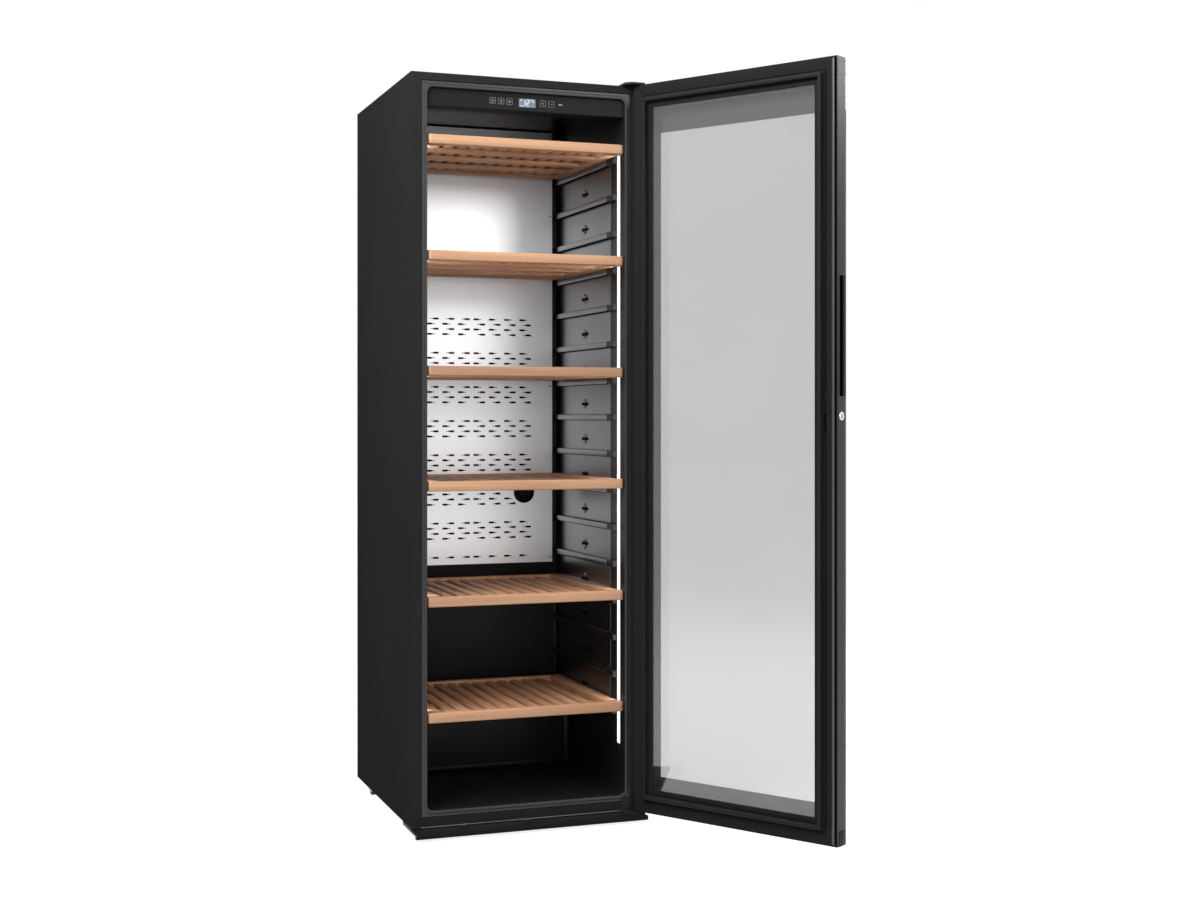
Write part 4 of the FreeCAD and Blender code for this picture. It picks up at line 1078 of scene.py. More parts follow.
# %% A row of bars
def make_bar_row():
    """Equal bars with rounded edges, set out in a row. Each one remembers its own grain and tone."""
    tree, given = geometry_tree("bar_row", {
        "Length": "Float", "Width": "Float", "Height": "Float", "Round": "Float", "Count": "Int",
        "First": "Vector", "Step": "Vector", "Turn": "Vector", "Seed": "Int", "Material": "Material",
    })
    section = {"Width": given["Width"], "Height": given["Height"]}
    outline = geo(tree, "CurvePrimitiveQuadrilateral", section)
    soft = {"Curve": outline, "Count": 3, "Radius": given["Round"], "Limit Radius": True}
    flat = geo(tree, "FillCurve", {"Curve": geo(tree, "FilletCurve", soft, mode="POLY")}, mode="NGONS")
    place = geo(tree, "InputPosition", {})
    facts = {"Geometry": thick(tree, flat, given["Length"]), "Name": "grain", "Value": place}
    bar = geo(tree, "StoreNamedAttribute", facts, data_type="FLOAT_VECTOR", domain="POINT")
    row = row_of(tree, given, {"Instance": bar, "Rotation": given["Turn"]})
    chance = add(tree, "FunctionNodeRandomValue", {"Seed": given["Seed"]}, data_type="FLOAT")
    facts = {"Geometry": row, "Name": "tone", "Value": chance.outputs[1]}
    toned = geo(tree, "StoreNamedAttribute", facts, data_type="FLOAT", domain="INSTANCE")
    both = {"Geometry": [given["Geometry"], finished(tree, toned, given["Material"])]}
    add(tree, "NodeGroupOutput", {"Geometry": geo(tree, "JoinGeometry", both)})
    return tree


BAR_ROW = make_bar_row()
ALONG_X = (math.pi / 2, 0.0, math.pi / 2)
ALONG_Y = (math.pi / 2, 0.0, math.pi)


def bars(length, width, height, first, turn, material, count=1, step=(0.0, 0.0, 0.0), soft=1.0, seed=0):
    """One run of the bar tree. Width is across the row; soft rounds the long edges, in millimetres."""
    return BAR_ROW, {
        "Length": length, "Width": width, "Height": height, "Round": soft * MM, "Count": count,
        "First": first, "Step": step, "Turn": turn, "Seed": seed, "Material": material,
    }


def nothing():
    """An empty mesh, for a tree that makes everything itself."""
    return bpy.data.meshes.new("empty")


print("tree", BAR_ROW.name)

# %% [markdown]
# Each shelf is a beech frame with three flat battens under eleven slats. The front bar is the part that
# people touch, so its edges are well rounded. It is drawn by itself, and four runs of the bar tree build the
# rest. Each shelf has its own seed for the wood, and each front bar its own tone, because no two pieces of
# beech are alike.

# %% Front bar of a shelf
BAR_DEPTH, SIDE_BAR, BATTEN_WIDTH, BATTEN_HEIGHT = 20 * MM, 30 * MM, 40 * MM, 8 * MM
SLAT_WIDTH, SLAT_HEIGHT, SLAT_COUNT, BATTEN_COUNT = 22 * MM, 10 * MM, 11, 3
FRONT_TONES = (0.62, 0.55, 0.7, 0.05, 0.8, 0.6)
FRONT_CORNER, CORNER_STEPS, FRONT_ROUND = 11 * MM, 8, 2.4 * MM


def front_bar(low, high, reach, tone):
    """The shelf's front bar, which wraps both ends with a rounded corner and hides the runners' mouths."""
    turns = [math.pi / 2 * step / CORNER_STEPS for step in range(CORNER_STEPS + 1)]
    curve = [(reach - FRONT_CORNER * (1 - math.sin(turn)), low.y + FRONT_CORNER * (1 - math.cos(turn)))
             for turn in turns]
    outline = [(-a, b) for a, b in reversed(curve)] + curve
    outline += [(reach, low.y + BAR_DEPTH), (-reach, low.y + BAR_DEPTH)]
    mesh = bevelled(extruded("front_bar", "XY", outline, low.z, high.z), FRONT_ROUND, 3)
    mesh.attributes.new("grain", "FLOAT_VECTOR", "POINT")
    mesh.attributes.new("tone", "FLOAT", "POINT")
    for spot, shade, vertex in zip(mesh.attributes["grain"].data, mesh.attributes["tone"].data,
                                   mesh.vertices):
        spot.vector, shade.value = (vertex.co.y, vertex.co.z, vertex.co.x), tone
    mesh.materials.append(FINISH["beech"])
    return mesh


print("front bar", BAR_DEPTH)


# %% Shelves
def shelf(number):
    """One slatted shelf with its runners."""
    node = f"shelf_{number}_wood"
    low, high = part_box(node)
    runner_low, runner_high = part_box(f"shelf_{number}_runners")
    depth, width, middle = high.y - low.y, high.x - low.x, (low.z + high.z) / 2
    inner = high.x - SIDE_BAR
    wood = FINISH["beech"]
    front = front_bar(low, high, runner_high.x - 0.1 * MM, FRONT_TONES[number - 1])
    between, batten_step = depth - 2 * BAR_DEPTH, depth / (BATTEN_COUNT + 1)
    slat_step = 2 * inner / (SLAT_COUNT + 1)
    rear_place = (low.x, high.y - BAR_DEPTH / 2, middle)
    side_place = (inner + SIDE_BAR / 2, low.y + BAR_DEPTH, middle)
    batten_place = (-inner, low.y + batten_step, low.z + BATTEN_HEIGHT / 2)
    slat_place = (-inner + slat_step, low.y + BAR_DEPTH, low.z + BATTEN_HEIGHT + SLAT_HEIGHT / 2)
    steps = [
        bars(width, BAR_DEPTH, high.z - low.z, rear_place, ALONG_X, wood, soft=1.6, seed=number * 10 + 1),
        bars(between, SIDE_BAR, high.z - low.z, side_place, ALONG_Y, wood, 2,
             (-2 * inner - SIDE_BAR, 0.0, 0.0), 1.6, number * 10 + 2),
        bars(2 * inner, BATTEN_WIDTH, BATTEN_HEIGHT, batten_place, ALONG_X, wood, BATTEN_COUNT,
             (0.0, batten_step, 0.0), 1.0, number * 10 + 3),
        bars(between, SLAT_WIDTH, SLAT_HEIGHT, slat_place, ALONG_Y, wood, SLAT_COUNT, (slat_step, 0.0, 0.0),
             2.0, number * 10 + 4),
    ]
    fit(f"shelf_{number}_slats", grow(front, *steps), "beech", stands_for=[node], body=BODY_OF[node])
    mouth = block((runner_low.x - MM, runner_low.y - MM, runner_low.z - MM),
                  (runner_high.x + MM, low.y + BAR_DEPTH, runner_high.z + MM))
    runners = bevelled(without(flat_copy(f"shelf_{number}_runners"), mouth), 0.4 * MM)
    fit(f"shelf_{number}_channels", runners, "runner_metal", stands_for=[f"shelf_{number}_runners"],
        body=BODY_OF[node])


SHELVES = sorted(node for node in BODY_OF if node.startswith("shelf_") and node.endswith("_wood"))
for node in SHELVES:
    shelf(int(node.split("_")[1]))
print("shelves", len(SHELVES))

# %% [markdown]
# Each light strip ends in a point, so on the real cooler a small moulded cap holds it in its pocket. Four
# caps close the two strips, top and bottom.

# %% Strip caps
strip_low, strip_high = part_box("light_strips")
CAP_LENGTH, CAP_DEPTH = 17 * MM, 3.35 * MM
caps = []
for side in (-1, 1):
    face_x = side * (strip_high.x - CAP_DEPTH)
    across = sorted((face_x, side * (strip_high.x - 0.1 * MM)))
    for start in (strip_low.z - 1 * MM, strip_high.z + 1 * MM - CAP_LENGTH):
        cap_low = (across[0], strip_low.y - 0.4 * MM, start)
        cap_high = (across[1], strip_high.y + 0.4 * MM, start + CAP_LENGTH)
        caps.append(bevelled(smoothed(block(cap_low, cap_high)), 0.3 * MM))
fit("strip_caps", joined("strip_caps", *caps), "black_plastic")
print("strip caps", len(caps))

# %% [markdown]
# The back plate is pierced with little bottle shapes, in four staggered rows under each other, and then a
# plain band before the next four. The outline of one slot is drawn once. The tree repeats it, turns every
# other row round, skips the places near the fan, and fills the plate round what is left.


# %% Outline of one slot
def bottle_outline(length, height, neck, neck_height):
    """A closed line in the shape of a lying bottle, its neck to the right."""
    half, thin = height / 2, neck_height / 2
    shoulder = length / 2 - neck
    upper = [(-length / 2, half * 0.6), (-length / 2 + half * 0.4, half), (shoulder - half, half),
             (shoulder, half * 0.75), (shoulder + half, thin), (length / 2, thin)]
    points = upper + [(a, -b) for a, b in reversed(upper)]
    mesh = bpy.data.meshes.new("bottle")
    mesh.from_pydata([(a, b, 0) for a, b in points],
                     [(i, (i + 1) % len(points)) for i in range(len(points))], [])
    return mesh


print("slot outline ready")

# %% Where the slots go
IN_SIDE, IN_ROW, IN_GROUP = 4.0, 8.0, 32.0
HOLE_MARGIN, FOOT_MARGIN = 16 * MM, 12 * MM


def slot_places(tree, given):
    """Points for all slots, each with its own turn, but none near the hole or the plate's foot."""
    index = geo(tree, "InputIndex", {})
    group_number = calc(tree, "FLOOR", calc(tree, "DIVIDE", index, IN_GROUP))
    row = calc(tree, "FLOOR", calc(tree, "DIVIDE", calc(tree, "MODULO", index, IN_GROUP), IN_ROW))
    column = calc(tree, "MODULO", index, IN_ROW)
    step = calc(tree, "MODULO", column, IN_SIDE)
    left = calc(tree, "FLOOR", calc(tree, "DIVIDE", column, IN_SIDE))
    side = calc(tree, "SUBTRACT", 1.0, calc(tree, "MULTIPLY", left, 2.0))
    odd = calc(tree, "MODULO", row, 2.0)
    gap = calc(tree, "SUBTRACT", given["Inward Start"], given["Outward Start"])
    start = calc(tree, "ADD", given["Outward Start"], calc(tree, "MULTIPLY", odd, gap))
    reach = calc(tree, "ADD", start, calc(tree, "MULTIPLY", step, given["Column Pitch"]))
    group_drop = calc(tree, "MULTIPLY", group_number, given["Group Pitch"])
    drop = calc(tree, "ADD", group_drop, calc(tree, "MULTIPLY", row, given["Row Pitch"]))
    up = calc(tree, "SUBTRACT", given["Top Row"], drop)
    spot = add(tree, "ShaderNodeCombineXYZ", {"X": calc(tree, "MULTIPLY", side, reach), "Y": up})
    count = calc(tree, "MULTIPLY", given["Groups"], IN_GROUP)
    points = geo(tree, "Points", {"Count": count, "Position": spot.outputs[0]})
    facing = calc(tree, "MULTIPLY", side, calc(tree, "SUBTRACT", 1.0, calc(tree, "MULTIPLY", odd, 2.0)))
    turn = calc(tree, "MULTIPLY", calc(tree, "LESS_THAN", facing, 0.0), math.pi)
    facts = {"Geometry": points, "Name": "turn", "Value": turn}
    stored = geo(tree, "StoreNamedAttribute", facts, data_type="FLOAT", domain="POINT")
    place = geo(tree, "InputPosition", {})
    away = add(tree, "ShaderNodeVectorMath", {0: place, 1: given["Hole"]},
               operation="DISTANCE").outputs["Value"]
    near = calc(tree, "LESS_THAN", away, calc(tree, "ADD", given["Hole Radius"], HOLE_MARGIN))
    floor = calc(tree, "ADD", calc(tree, "MULTIPLY", given["Height"], -0.5), FOOT_MARGIN)
    low = calc(tree, "LESS_THAN", add(tree, "ShaderNodeSeparateXYZ", {0: place}).outputs["Y"], floor)
    skipped = {"Geometry": stored, "Selection": calc(tree, "MAXIMUM", near, low)}
    return geo(tree, "DeleteGeometry", skipped, domain="POINT")


print("slots in a group", IN_GROUP)


# %% A pierced plate
def make_pierced_plate():
    """A flat plate with a round hole and groups of slots. The slot's outline comes in as the geometry."""
    tree, given = geometry_tree("pierced_plate", {
        "Width": "Float", "Height": "Float", "Thickness": "Float", "Place": "Vector", "Hole": "Vector",
        "Hole Radius": "Float", "Groups": "Int", "Top Row": "Float", "Group Pitch": "Float",
        "Row Pitch": "Float",
        "Column Pitch": "Float", "Outward Start": "Float", "Inward Start": "Float", "Material": "Material",
    })
    kept = slot_places(tree, given)
    read = geo(tree, "InputNamedAttribute", {"Name": "turn"}, data_type="FLOAT")
    spin = add(tree, "ShaderNodeCombineXYZ", {"Z": read}).outputs[0]
    slot = geo(tree, "MeshToCurve", {"Mesh": given["Geometry"]})
    slots = geo(tree, "InstanceOnPoints", {"Points": kept, "Instance": slot, "Rotation": spin})
    real_slots = geo(tree, "RealizeInstances", {"Geometry": slots})
    sheet = {"Width": given["Width"], "Height": given["Height"]}
    border = geo(tree, "CurvePrimitiveQuadrilateral", sheet)
    ring = geo(tree, "CurvePrimitiveCircle", {"Resolution": 64, "Radius": given["Hole Radius"]})
    hole = geo(tree, "Transform", {"Geometry": ring, "Translation": given["Hole"]})
    drawing = geo(tree, "JoinGeometry", {"Geometry": [border, hole, real_slots]})
    flat = geo(tree, "FillCurve", {"Curve": drawing}, mode="TRIANGLES")
    stood = {"Translation": given["Place"], "Rotation": (math.pi / 2, 0, 0)}
    upright = geo(tree, "Transform", {"Geometry": thick(tree, flat, given["Thickness"]), **stood})
    return close_tree(tree, upright, given["Material"])


PIERCED_PLATE = make_pierced_plate()
print("tree", PIERCED_PLATE.name)

# %% Back plate
BAY_PITCH, SLOT_GROUPS, TOP_ROW, FAN_HOLE = 94.2 * MM, 8, 1.2915, 30 * MM
plate_low, plate_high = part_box("back_plate")
fan_low, fan_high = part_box("fan_frame")
FAN = ((fan_low.x + fan_high.x) / 2, (fan_low.z + fan_high.z) / 2)
plate_middle = (plate_low.z + plate_high.z) / 2
pierced = grow(bottle_outline(23 * MM, 5.5 * MM, 8.5 * MM, 1.7 * MM), (PIERCED_PLATE, {
    "Width": plate_high.x - plate_low.x, "Height": plate_high.z - plate_low.z,
    "Thickness": plate_high.y - plate_low.y, "Place": (0.0, plate_high.y, plate_middle),
    "Hole": (FAN[0], FAN[1] - plate_middle, 0.0), "Hole Radius": FAN_HOLE, "Groups": SLOT_GROUPS,
    "Top Row": TOP_ROW - plate_middle, "Group Pitch": BAY_PITCH, "Row Pitch": 14.1 * MM,
    "Column Pitch": 44.4 * MM,
    "Outward Start": 16.6 * MM, "Inward Start": 27.6 * MM, "Material": FINISH["brushed_plate"],
}))
fit("pierced_back_plate", pierced, "brushed_plate", stands_for=["back_plate"])
print("pierced plate faces", len(pierced.polygons))

# %% [markdown]
# Screws hold the sheet at the back and the pierced plate. On the object they are plain round heads with a
# sunk drive. One tree makes a head and puts it on every point that comes in, which is simpler than drawing
# each one.


# %% Screw heads
def make_screws():
    """Screw heads with a sunk drive, one on every point that comes in."""
    tree, given = geometry_tree("screw_heads", {
        "Radius": "Float", "Height": "Float", "Turn": "Vector", "Material": "Material",
    })
    drum = {"Vertices": 18, "Radius": given["Radius"], "Depth": given["Height"]}
    body = add(tree, "GeometryNodeMeshCylinder", drum)
    crown = add(tree, "GeometryNodeScaleElements", {
        "Geometry": body.outputs["Mesh"], "Selection": body.outputs["Top"], "Scale": 0.8,
    })
    drive = {"Mesh": crown.outputs[0], "Selection": body.outputs["Top"], "Offset Scale": 0.0}
    marked = add(tree, "GeometryNodeExtrudeMesh", drive)
    socket = add(tree, "GeometryNodeScaleElements", {
        "Geometry": marked.outputs["Mesh"], "Selection": marked.outputs["Top"], "Scale": 0.5,
    })
    depth = calc(tree, "MULTIPLY", given["Height"], -0.6)
    sunk = {"Mesh": socket.outputs[0], "Selection": marked.outputs["Top"], "Offset Scale": depth}
    head = add(tree, "GeometryNodeExtrudeMesh", sunk)
    heads = {"Points": given["Geometry"], "Instance": head.outputs["Mesh"], "Rotation": given["Turn"]}
    return close_tree(tree, geo(tree, "InstanceOnPoints", heads), given["Material"])


SCREW_HEADS = make_screws()
print("tree", SCREW_HEADS.name)

# %% Screws
FACING = {"-Y": (math.pi / 2, 0.0, 0.0), "+Y": (-math.pi / 2, 0.0, 0.0)}


def screws(name, places, facing, radius, height, slot, material=None):
    """Screw heads at places, all facing one way. Radius and height are in millimetres."""
    mesh = bpy.data.meshes.new(name)
    mesh.from_pydata(places, [], [])
    sizes = {"Radius": radius * MM, "Height": height * MM, "Turn": FACING[facing]}
    return fit(name, grow(mesh, (SCREW_HEADS, {**sizes, "Material": material or FINISH[slot]})), slot)


REAR_SCREW_PITCH, REAR_SCREW_COUNT = 223 * MM, 8
rear_low, rear_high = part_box("rear_panel")
grille_low, grille_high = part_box("rear_grille")
back_y = rear_high.y + 0.6 * MM
rear_spots = [(side * (rear_high.x - 9 * MM), back_y, rear_low.z + 20 * MM + i * REAR_SCREW_PITCH)
              for side in (-1, 1) for i in range(REAR_SCREW_COUNT)]
rear_spots += [(x, back_y, rear_high.z - 12 * MM) for x in (-180 * MM, 0.0, 180 * MM)]
rear_spots += [(x, back_y, z) for x in (grille_low.x + 9 * MM, 0.0, grille_high.x - 9 * MM)
               for z in (grille_low.z + 12 * MM, grille_high.z - 10 * MM)]
screws("rear_screws", rear_spots, "+Y", 4.2, 2.2, "bare_steel")
PLATE_SCREW_HEIGHTS = (0.6265, 1.1067, 1.586, 1.81)
plate_spots = [(x, plate_low.y - 0.4 * MM, z) for x in (plate_high.x - 6 * MM, plate_low.x + 6 * MM)
               for z in PLATE_SCREW_HEIGHTS]
screws("plate_screws", plate_spots, "-Y", 3.6, 1.6, "bare_steel")
print("screws", len(rear_spots) + len(plate_spots))

# %% [markdown]
# ## The walls of the cavity
# A metal panel stands on each side wall, with a rail at every shelf height. The rails are pressed, so their
# long edges are soft, and a near-black strip under each is painted shade for its open hollow. Each bay has one
# hook slot in a shallow round dimple: a near-black plug, painted shade for the hole, in a rim with a bright edge.

# %% Hook slot in its dimple
RAIL_HEIGHT, RAIL_START, RAIL_HEADROOM = 15 * MM, 2 * MM, 20 * MM
SKIN, PANEL_OVERRUN, HOOK_SETBACK, HOOK_RISE = 1 * MM, 13 * MM, 303 * MM, 28 * MM
SLOT_HALF, SLOT_RADIUS = 22 * MM, 3.6 * MM


def hook(side, wall):
    """A dimple with a slot in it, on one rail panel's face. The slot is a thin near-black plug, painted shade."""
    face = wall - side * SKIN
    bowl = [(0, -0.2), (15, -0.2), (15, 0.0), (12.5, 0.6), (10.0, 2.0), (9.0, 2.0), (7.6, 1.2), (0, 1.0)]
    dimple = turned("dimple", in_mm([(radius, -side * along) for radius, along in bowl]), (face, 0, 0), "X",
                    40)
    corners = (-SLOT_HALF, -SLOT_RADIUS), (SLOT_HALF, SLOT_RADIUS)
    slot = lofted("hook_slot", "YZ", [
        (*corners, face + side * 0.2 * MM, SLOT_RADIUS), (*corners, face - side * 2.2 * MM, SLOT_RADIUS),
    ], steps=4, closed=False)
    return dimple, slot


print("hook slots stand", HOOK_RISE, "over a rail")


# %% Rows of copies
def make_stamp_row():
    """Copies of the incoming mesh in a row."""
    tree, given = geometry_tree("stamp_row", {
        "Count": "Int", "First": "Vector", "Step": "Vector", "Material": "Material",
    })
    return close_tree(tree, row_of(tree, given, {"Instance": given["Geometry"]}), given["Material"])


STAMP_ROW = make_stamp_row()


def stamped(mesh, first, step, count, material):
    """A mesh repeated in a row, as one plain mesh."""
    return grow(mesh, (STAMP_ROW, {"Count": count, "First": first, "Step": step, "Material": material}))


print("tree", STAMP_ROW.name)


# %% Rail panels
def rail_panel(node, side):
    """One side wall's metal panel: skin, rails with painted shade under each, dimples and hook slots."""
    low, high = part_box(node)
    length = high.y - low.y + PANEL_OVERRUN
    wall, nose = (low.x, high.x) if side < 0 else (high.x, low.x)
    skin_x = sorted((wall, wall - side * SKIN))
    skin = bevelled(smoothed(block((skin_x[0], low.y, low.z), (skin_x[1], low.y + length, high.z))), 0.3 * MM)
    count = round((high.z - low.z - RAIL_HEADROOM - RAIL_START - RAIL_HEIGHT) / BAY_PITCH) + 1
    bay, foot = (0.0, 0.0, BAY_PITCH), low.z + RAIL_START
    middle = ((wall + nose) / 2, low.y, foot + RAIL_HEIGHT / 2)
    under = ((wall + nose) / 2, low.y, foot)
    rails = bars(length, abs(nose - wall), RAIL_HEIGHT, middle, ALONG_Y, RAIL_PANEL_METAL, count, bay, 1.6)
    # Near-black strips under the rails: painted shade for their open hollows.
    hollow_shade = bars(length, abs(nose - wall) - 2 * MM, 2 * MM, under, ALONG_Y, PAINTED_SHADE_BLACK, count, bay, 0.2)
    fit(f"{node}_rail_hollows", grow(nothing(), hollow_shade), "black_plastic")
    fit(f"{node}_skin", skin, "brushed_plate", RAIL_PANEL_METAL, [node])
    fit(f"{node}_rails", grow(nothing(), rails), "brushed_plate")
    dimple, slot = hook(side, wall)
    place = (0.0, FRONT + HOOK_SETBACK, foot + RAIL_HEIGHT + HOOK_RISE)
    fit(f"{node}_dimples", stamped(dimple, place, bay, count - 1, RAIL_PANEL_METAL), "brushed_plate")
    # The hook slots are near-black plugs: painted shade where each hole is dark.
    fit(f"{node}_hook_slot_shades", stamped(slot, place, bay, count - 1, PAINTED_SHADE_BLACK), "black_plastic")
    return count


for side, node in ((-1, "left_rail_panel"), (1, "right_rail_panel")):
    print(node, rail_panel(node, side), "rails")

# %% [markdown]
# The liner is one vacuum-formed sheet on the real cooler, so where two walls meet there is a soft concave
# corner. The model's walls meet at right angles, so a strip with a hollow face is laid in each corner.

# %% Liner corners
COVE_STEPS = 8


def cove(plane, corner, toward, reach, low, high):
    """A concave fillet in a corner, drawn in a plane's two axes and carried along the third."""
    points = [corner]
    for step in range(COVE_STEPS + 1):
        turn = math.pi / 2 * step / COVE_STEPS
        points.append((
            corner[0] + toward[0] * reach * MM * (1 - math.sin(turn)),
            corner[1] + toward[1] * reach * MM * (1 - math.cos(turn)),
        ))
    return extruded("cove", plane, points, low, high)


floor_low, floor_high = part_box("liner_floor")
step_low, step_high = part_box("liner_step")
back_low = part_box("liner_back_wall")[0]
ceiling_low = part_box("liner_ceiling")[0]
coves = []
for side in (-1, 1):
    wall = side * floor_high.x
    coves += [
        cove("XY", (wall, step_low.y), (-side, -1), 16, floor_high.z, step_high.z),
        cove("XY", (wall, back_low.y), (-side, -1), 12, step_high.z, ceiling_low.z),
        cove("XZ", (wall, floor_high.z), (-side, 1), 9, floor_low.y, step_low.y),
        cove("XZ", (wall, step_high.z), (-side, 1), 5, step_low.y, back_low.y),
    ]
coves.append(cove("YZ", (step_low.y, floor_high.z), (-1, 1), 12, floor_low.x, floor_high.x))
coves.append(cove("YZ", (back_low.y, step_high.z), (-1, 1), 8, floor_low.x, floor_high.x))
nose_section = [(-0.8, -9), (0, -9), (0, 0), (9, 0), (9, 0.8), (2, 0.8), (0, 0.3), (-0.8, -1.6)]
nose_outline = [(step_low.y + a * MM, step_high.z + b * MM) for a, b in nose_section]
coves.append(extruded("nose", "YZ", nose_outline, floor_low.x, floor_high.x))
fit("liner_coves", joined("liner_coves", *coves), "liner_plastic")
print("liner corners", len(coves))

# %% [markdown]
# Low ribs stiffen the liner's floor and keep bottles out of the wet. They are one more row of bars, set a
# little into the floor. The boss beside them is turned.

# %% Liner floor
RIB_COUNT, RIB_PITCH, RIB_LENGTH = 8, 60 * MM, 360 * MM
first_rib = (-RIB_PITCH * (RIB_COUNT - 1) / 2, floor_low.y + 34 * MM, floor_high.z + 0.6 * MM)
ribs = grow(nothing(), bars(RIB_LENGTH, 7 * MM, 1.6 * MM, first_rib, ALONG_Y, FINISH["liner_plastic"],
                            RIB_COUNT, (RIB_PITCH, 0.0, 0.0), 0.7))
fit("floor_ribs", ribs, "liner_plastic")
boss_profile = in_mm([(0, -0.5), (11, -0.5), (11, 0.6), (9.5, 2.2), (6, 3.2), (0, 3.4)], floor_high.z)
boss_place = (196 * MM, floor_low.y + 22 * MM, 0)
fit("floor_boss", turned("boss", boss_profile, boss_place), "liner_plastic")
print("floor ribs", RIB_COUNT)

# %% [markdown]
# The touch controls are printed on the fascia as thin outlines. Each key is a square ring with a plain sign
# in it: on and off, light, mode, then plus, minus and a bar. The display shows a plain number with darker
# segments.

# %% Printing tools
PANEL_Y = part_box("control_fascia")[0].y
PRINT_OUT, PRINT_IN, LINE, ARC_STEPS = PANEL_Y - 0.12 * MM, PANEL_Y + 0.05 * MM, 0.7, 14
display_low, display_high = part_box("display_module")
KEY_Z = (display_low.z + display_high.z) / 2


def flat_shape(outline):
    """A thin printed shape on the fascia. Its points are in millimetres, counted up from the row of keys."""
    return extruded("print", "XZ", in_mm(outline, KEY_Z), PRINT_OUT, PRINT_IN)


def key_ring(x):
    """A thin square ring with soft corners."""
    rings = []
    for half, radius, depths in ((7.4, 1.6, (PRINT_IN, PRINT_OUT)), (6.9, 1.2, (PRINT_OUT, PRINT_IN))):
        low, high = in_mm([(x - half, -half), (x + half, half)], KEY_Z)
        rings += [(low, high, depth, radius * MM) for depth in depths]
    return lofted("key", "XZ", rings, steps=4)


def arc(x, z, radius, start, end, width=LINE):
    """A printed arc in the plane of the fascia, from one angle to another in degrees."""
    turns = [math.radians(start + (end - start) * i / ARC_STEPS) for i in range(ARC_STEPS + 1)]
    outer, inner = radius + width / 2, radius - width / 2
    points = [(x + outer * math.cos(turn), z + outer * math.sin(turn)) for turn in turns]
    points += [(x + inner * math.cos(turn), z + inner * math.sin(turn)) for turn in reversed(turns)]
    return flat_shape(points)


def stroke(x0, z0, x1, z1, width=LINE):
    """A printed straight line."""
    start, end = Vector((x0, z0)), Vector((x1, z1))
    run = end - start
    side = Vector((-run.y, run.x)).normalized() * width / 2
    return flat_shape([tuple(start + side), tuple(end + side), tuple(end - side), tuple(start - side)])


print("row of keys at height", KEY_Z)

# %% Keys
ON, LIGHT, MODE, PLUS, MINUS = -89, -67.5, -46, 41, 63
prints = [key_ring(x) for x in (ON, LIGHT, MODE, PLUS, MINUS)]
prints += [arc(ON, -0.4, 3.6, -235, 55), stroke(ON, 0, ON, 4.4)]
prints += [arc(LIGHT, 0.6, 2.4, -50, 230), stroke(LIGHT - 1.5, -2.6, LIGHT + 1.5, -2.6),
           stroke(LIGHT - 1.1, -4, LIGHT + 1.1, -4)]
prints += [stroke(MODE - 3.5, z, MODE + 3.5, z) for z in (2, 0, -2)]
prints += [stroke(PLUS - 3.4, 0, PLUS + 3.4, 0), stroke(PLUS, -3.4, PLUS, 3.4)]
prints += [stroke(MINUS - 3.4, 0, MINUS + 3.4, 0), stroke(82, 0, 92, 0, 2.4)]
fit("control_prints", joined("control_prints", *prints), "black_plastic", ICON_PRINT)
print("printed shapes", len(prints))

# %% [markdown]
# The display's number is built from seven-segment bars, as on the real part. Letters from a font would look
# wrong here, and thin boxes are enough.

# %% Display
SEGMENTS = {"1": "bc", "2": "abged"}


def digit(text, x, z, width, height, stem):
    """One number made of bars, in millimetres, on the display's face."""
    half = height / 2
    places = {
        "a": ((x, z + half), True), "g": ((x, z), True), "d": ((x, z - half), True),
        "b": ((x + width / 2, z + half / 2), False), "c": ((x + width / 2, z - half / 2), False),
        "e": ((x - width / 2, z - half / 2), False),
    }
    shapes = []
    for name in SEGMENTS[text]:
        (a, b), level = places[name]
        long, thin = (width - stem, stem) if level else (stem, half - stem * 0.6)
        shapes.append(flat_shape([(a - long / 2, b - thin / 2), (a + long / 2, b - thin / 2),
                                  (a + long / 2, b + thin / 2), (a - long / 2, b + thin / 2)]))
    return shapes


marks = digit("1", -9, 0, 7, 14, 1.9) + digit("2", 2, 0, 7, 14, 1.9)
marks += [arc(11.5, 7, 1.4, 0, 359, 0.8), arc(16.5, 4, 2.6, 50, 310, 1.0)]
marks += [stroke(-18, -8.6, -8, -8.6, 1.2), stroke(-18, 5.5, -14, 5.5, 1.8)]
fit("display_marks", joined("display_marks", *marks), "display", DIGIT_LIGHT)
bezel_out = PANEL_Y - 0.25 * MM
bezel_outer = ((display_low.x - 1.2 * MM, display_low.z - 1.2 * MM),
               (display_high.x + 1.2 * MM, display_high.z + 1.2 * MM))
bezel_inner = ((display_low.x + 0.8 * MM, display_low.z + 1.4 * MM),
               (display_high.x - 0.8 * MM, display_high.z - 3.6 * MM))
bezel = lofted("bezel", "XZ", [
    (*bezel_outer, PRINT_IN, 1.5 * MM), (*bezel_outer, bezel_out, 1.5 * MM),
    (*bezel_inner, bezel_out, 1.0 * MM), (*bezel_inner, PRINT_IN, 1.0 * MM),
], steps=4)
fit("display_bezel", bezel, "black_plastic")
print("display marks", len(marks))

# %% [markdown]
# ## Fan and small front details
# A wire guard covers the fan's hole: rings and cross bars, as on most small fans.

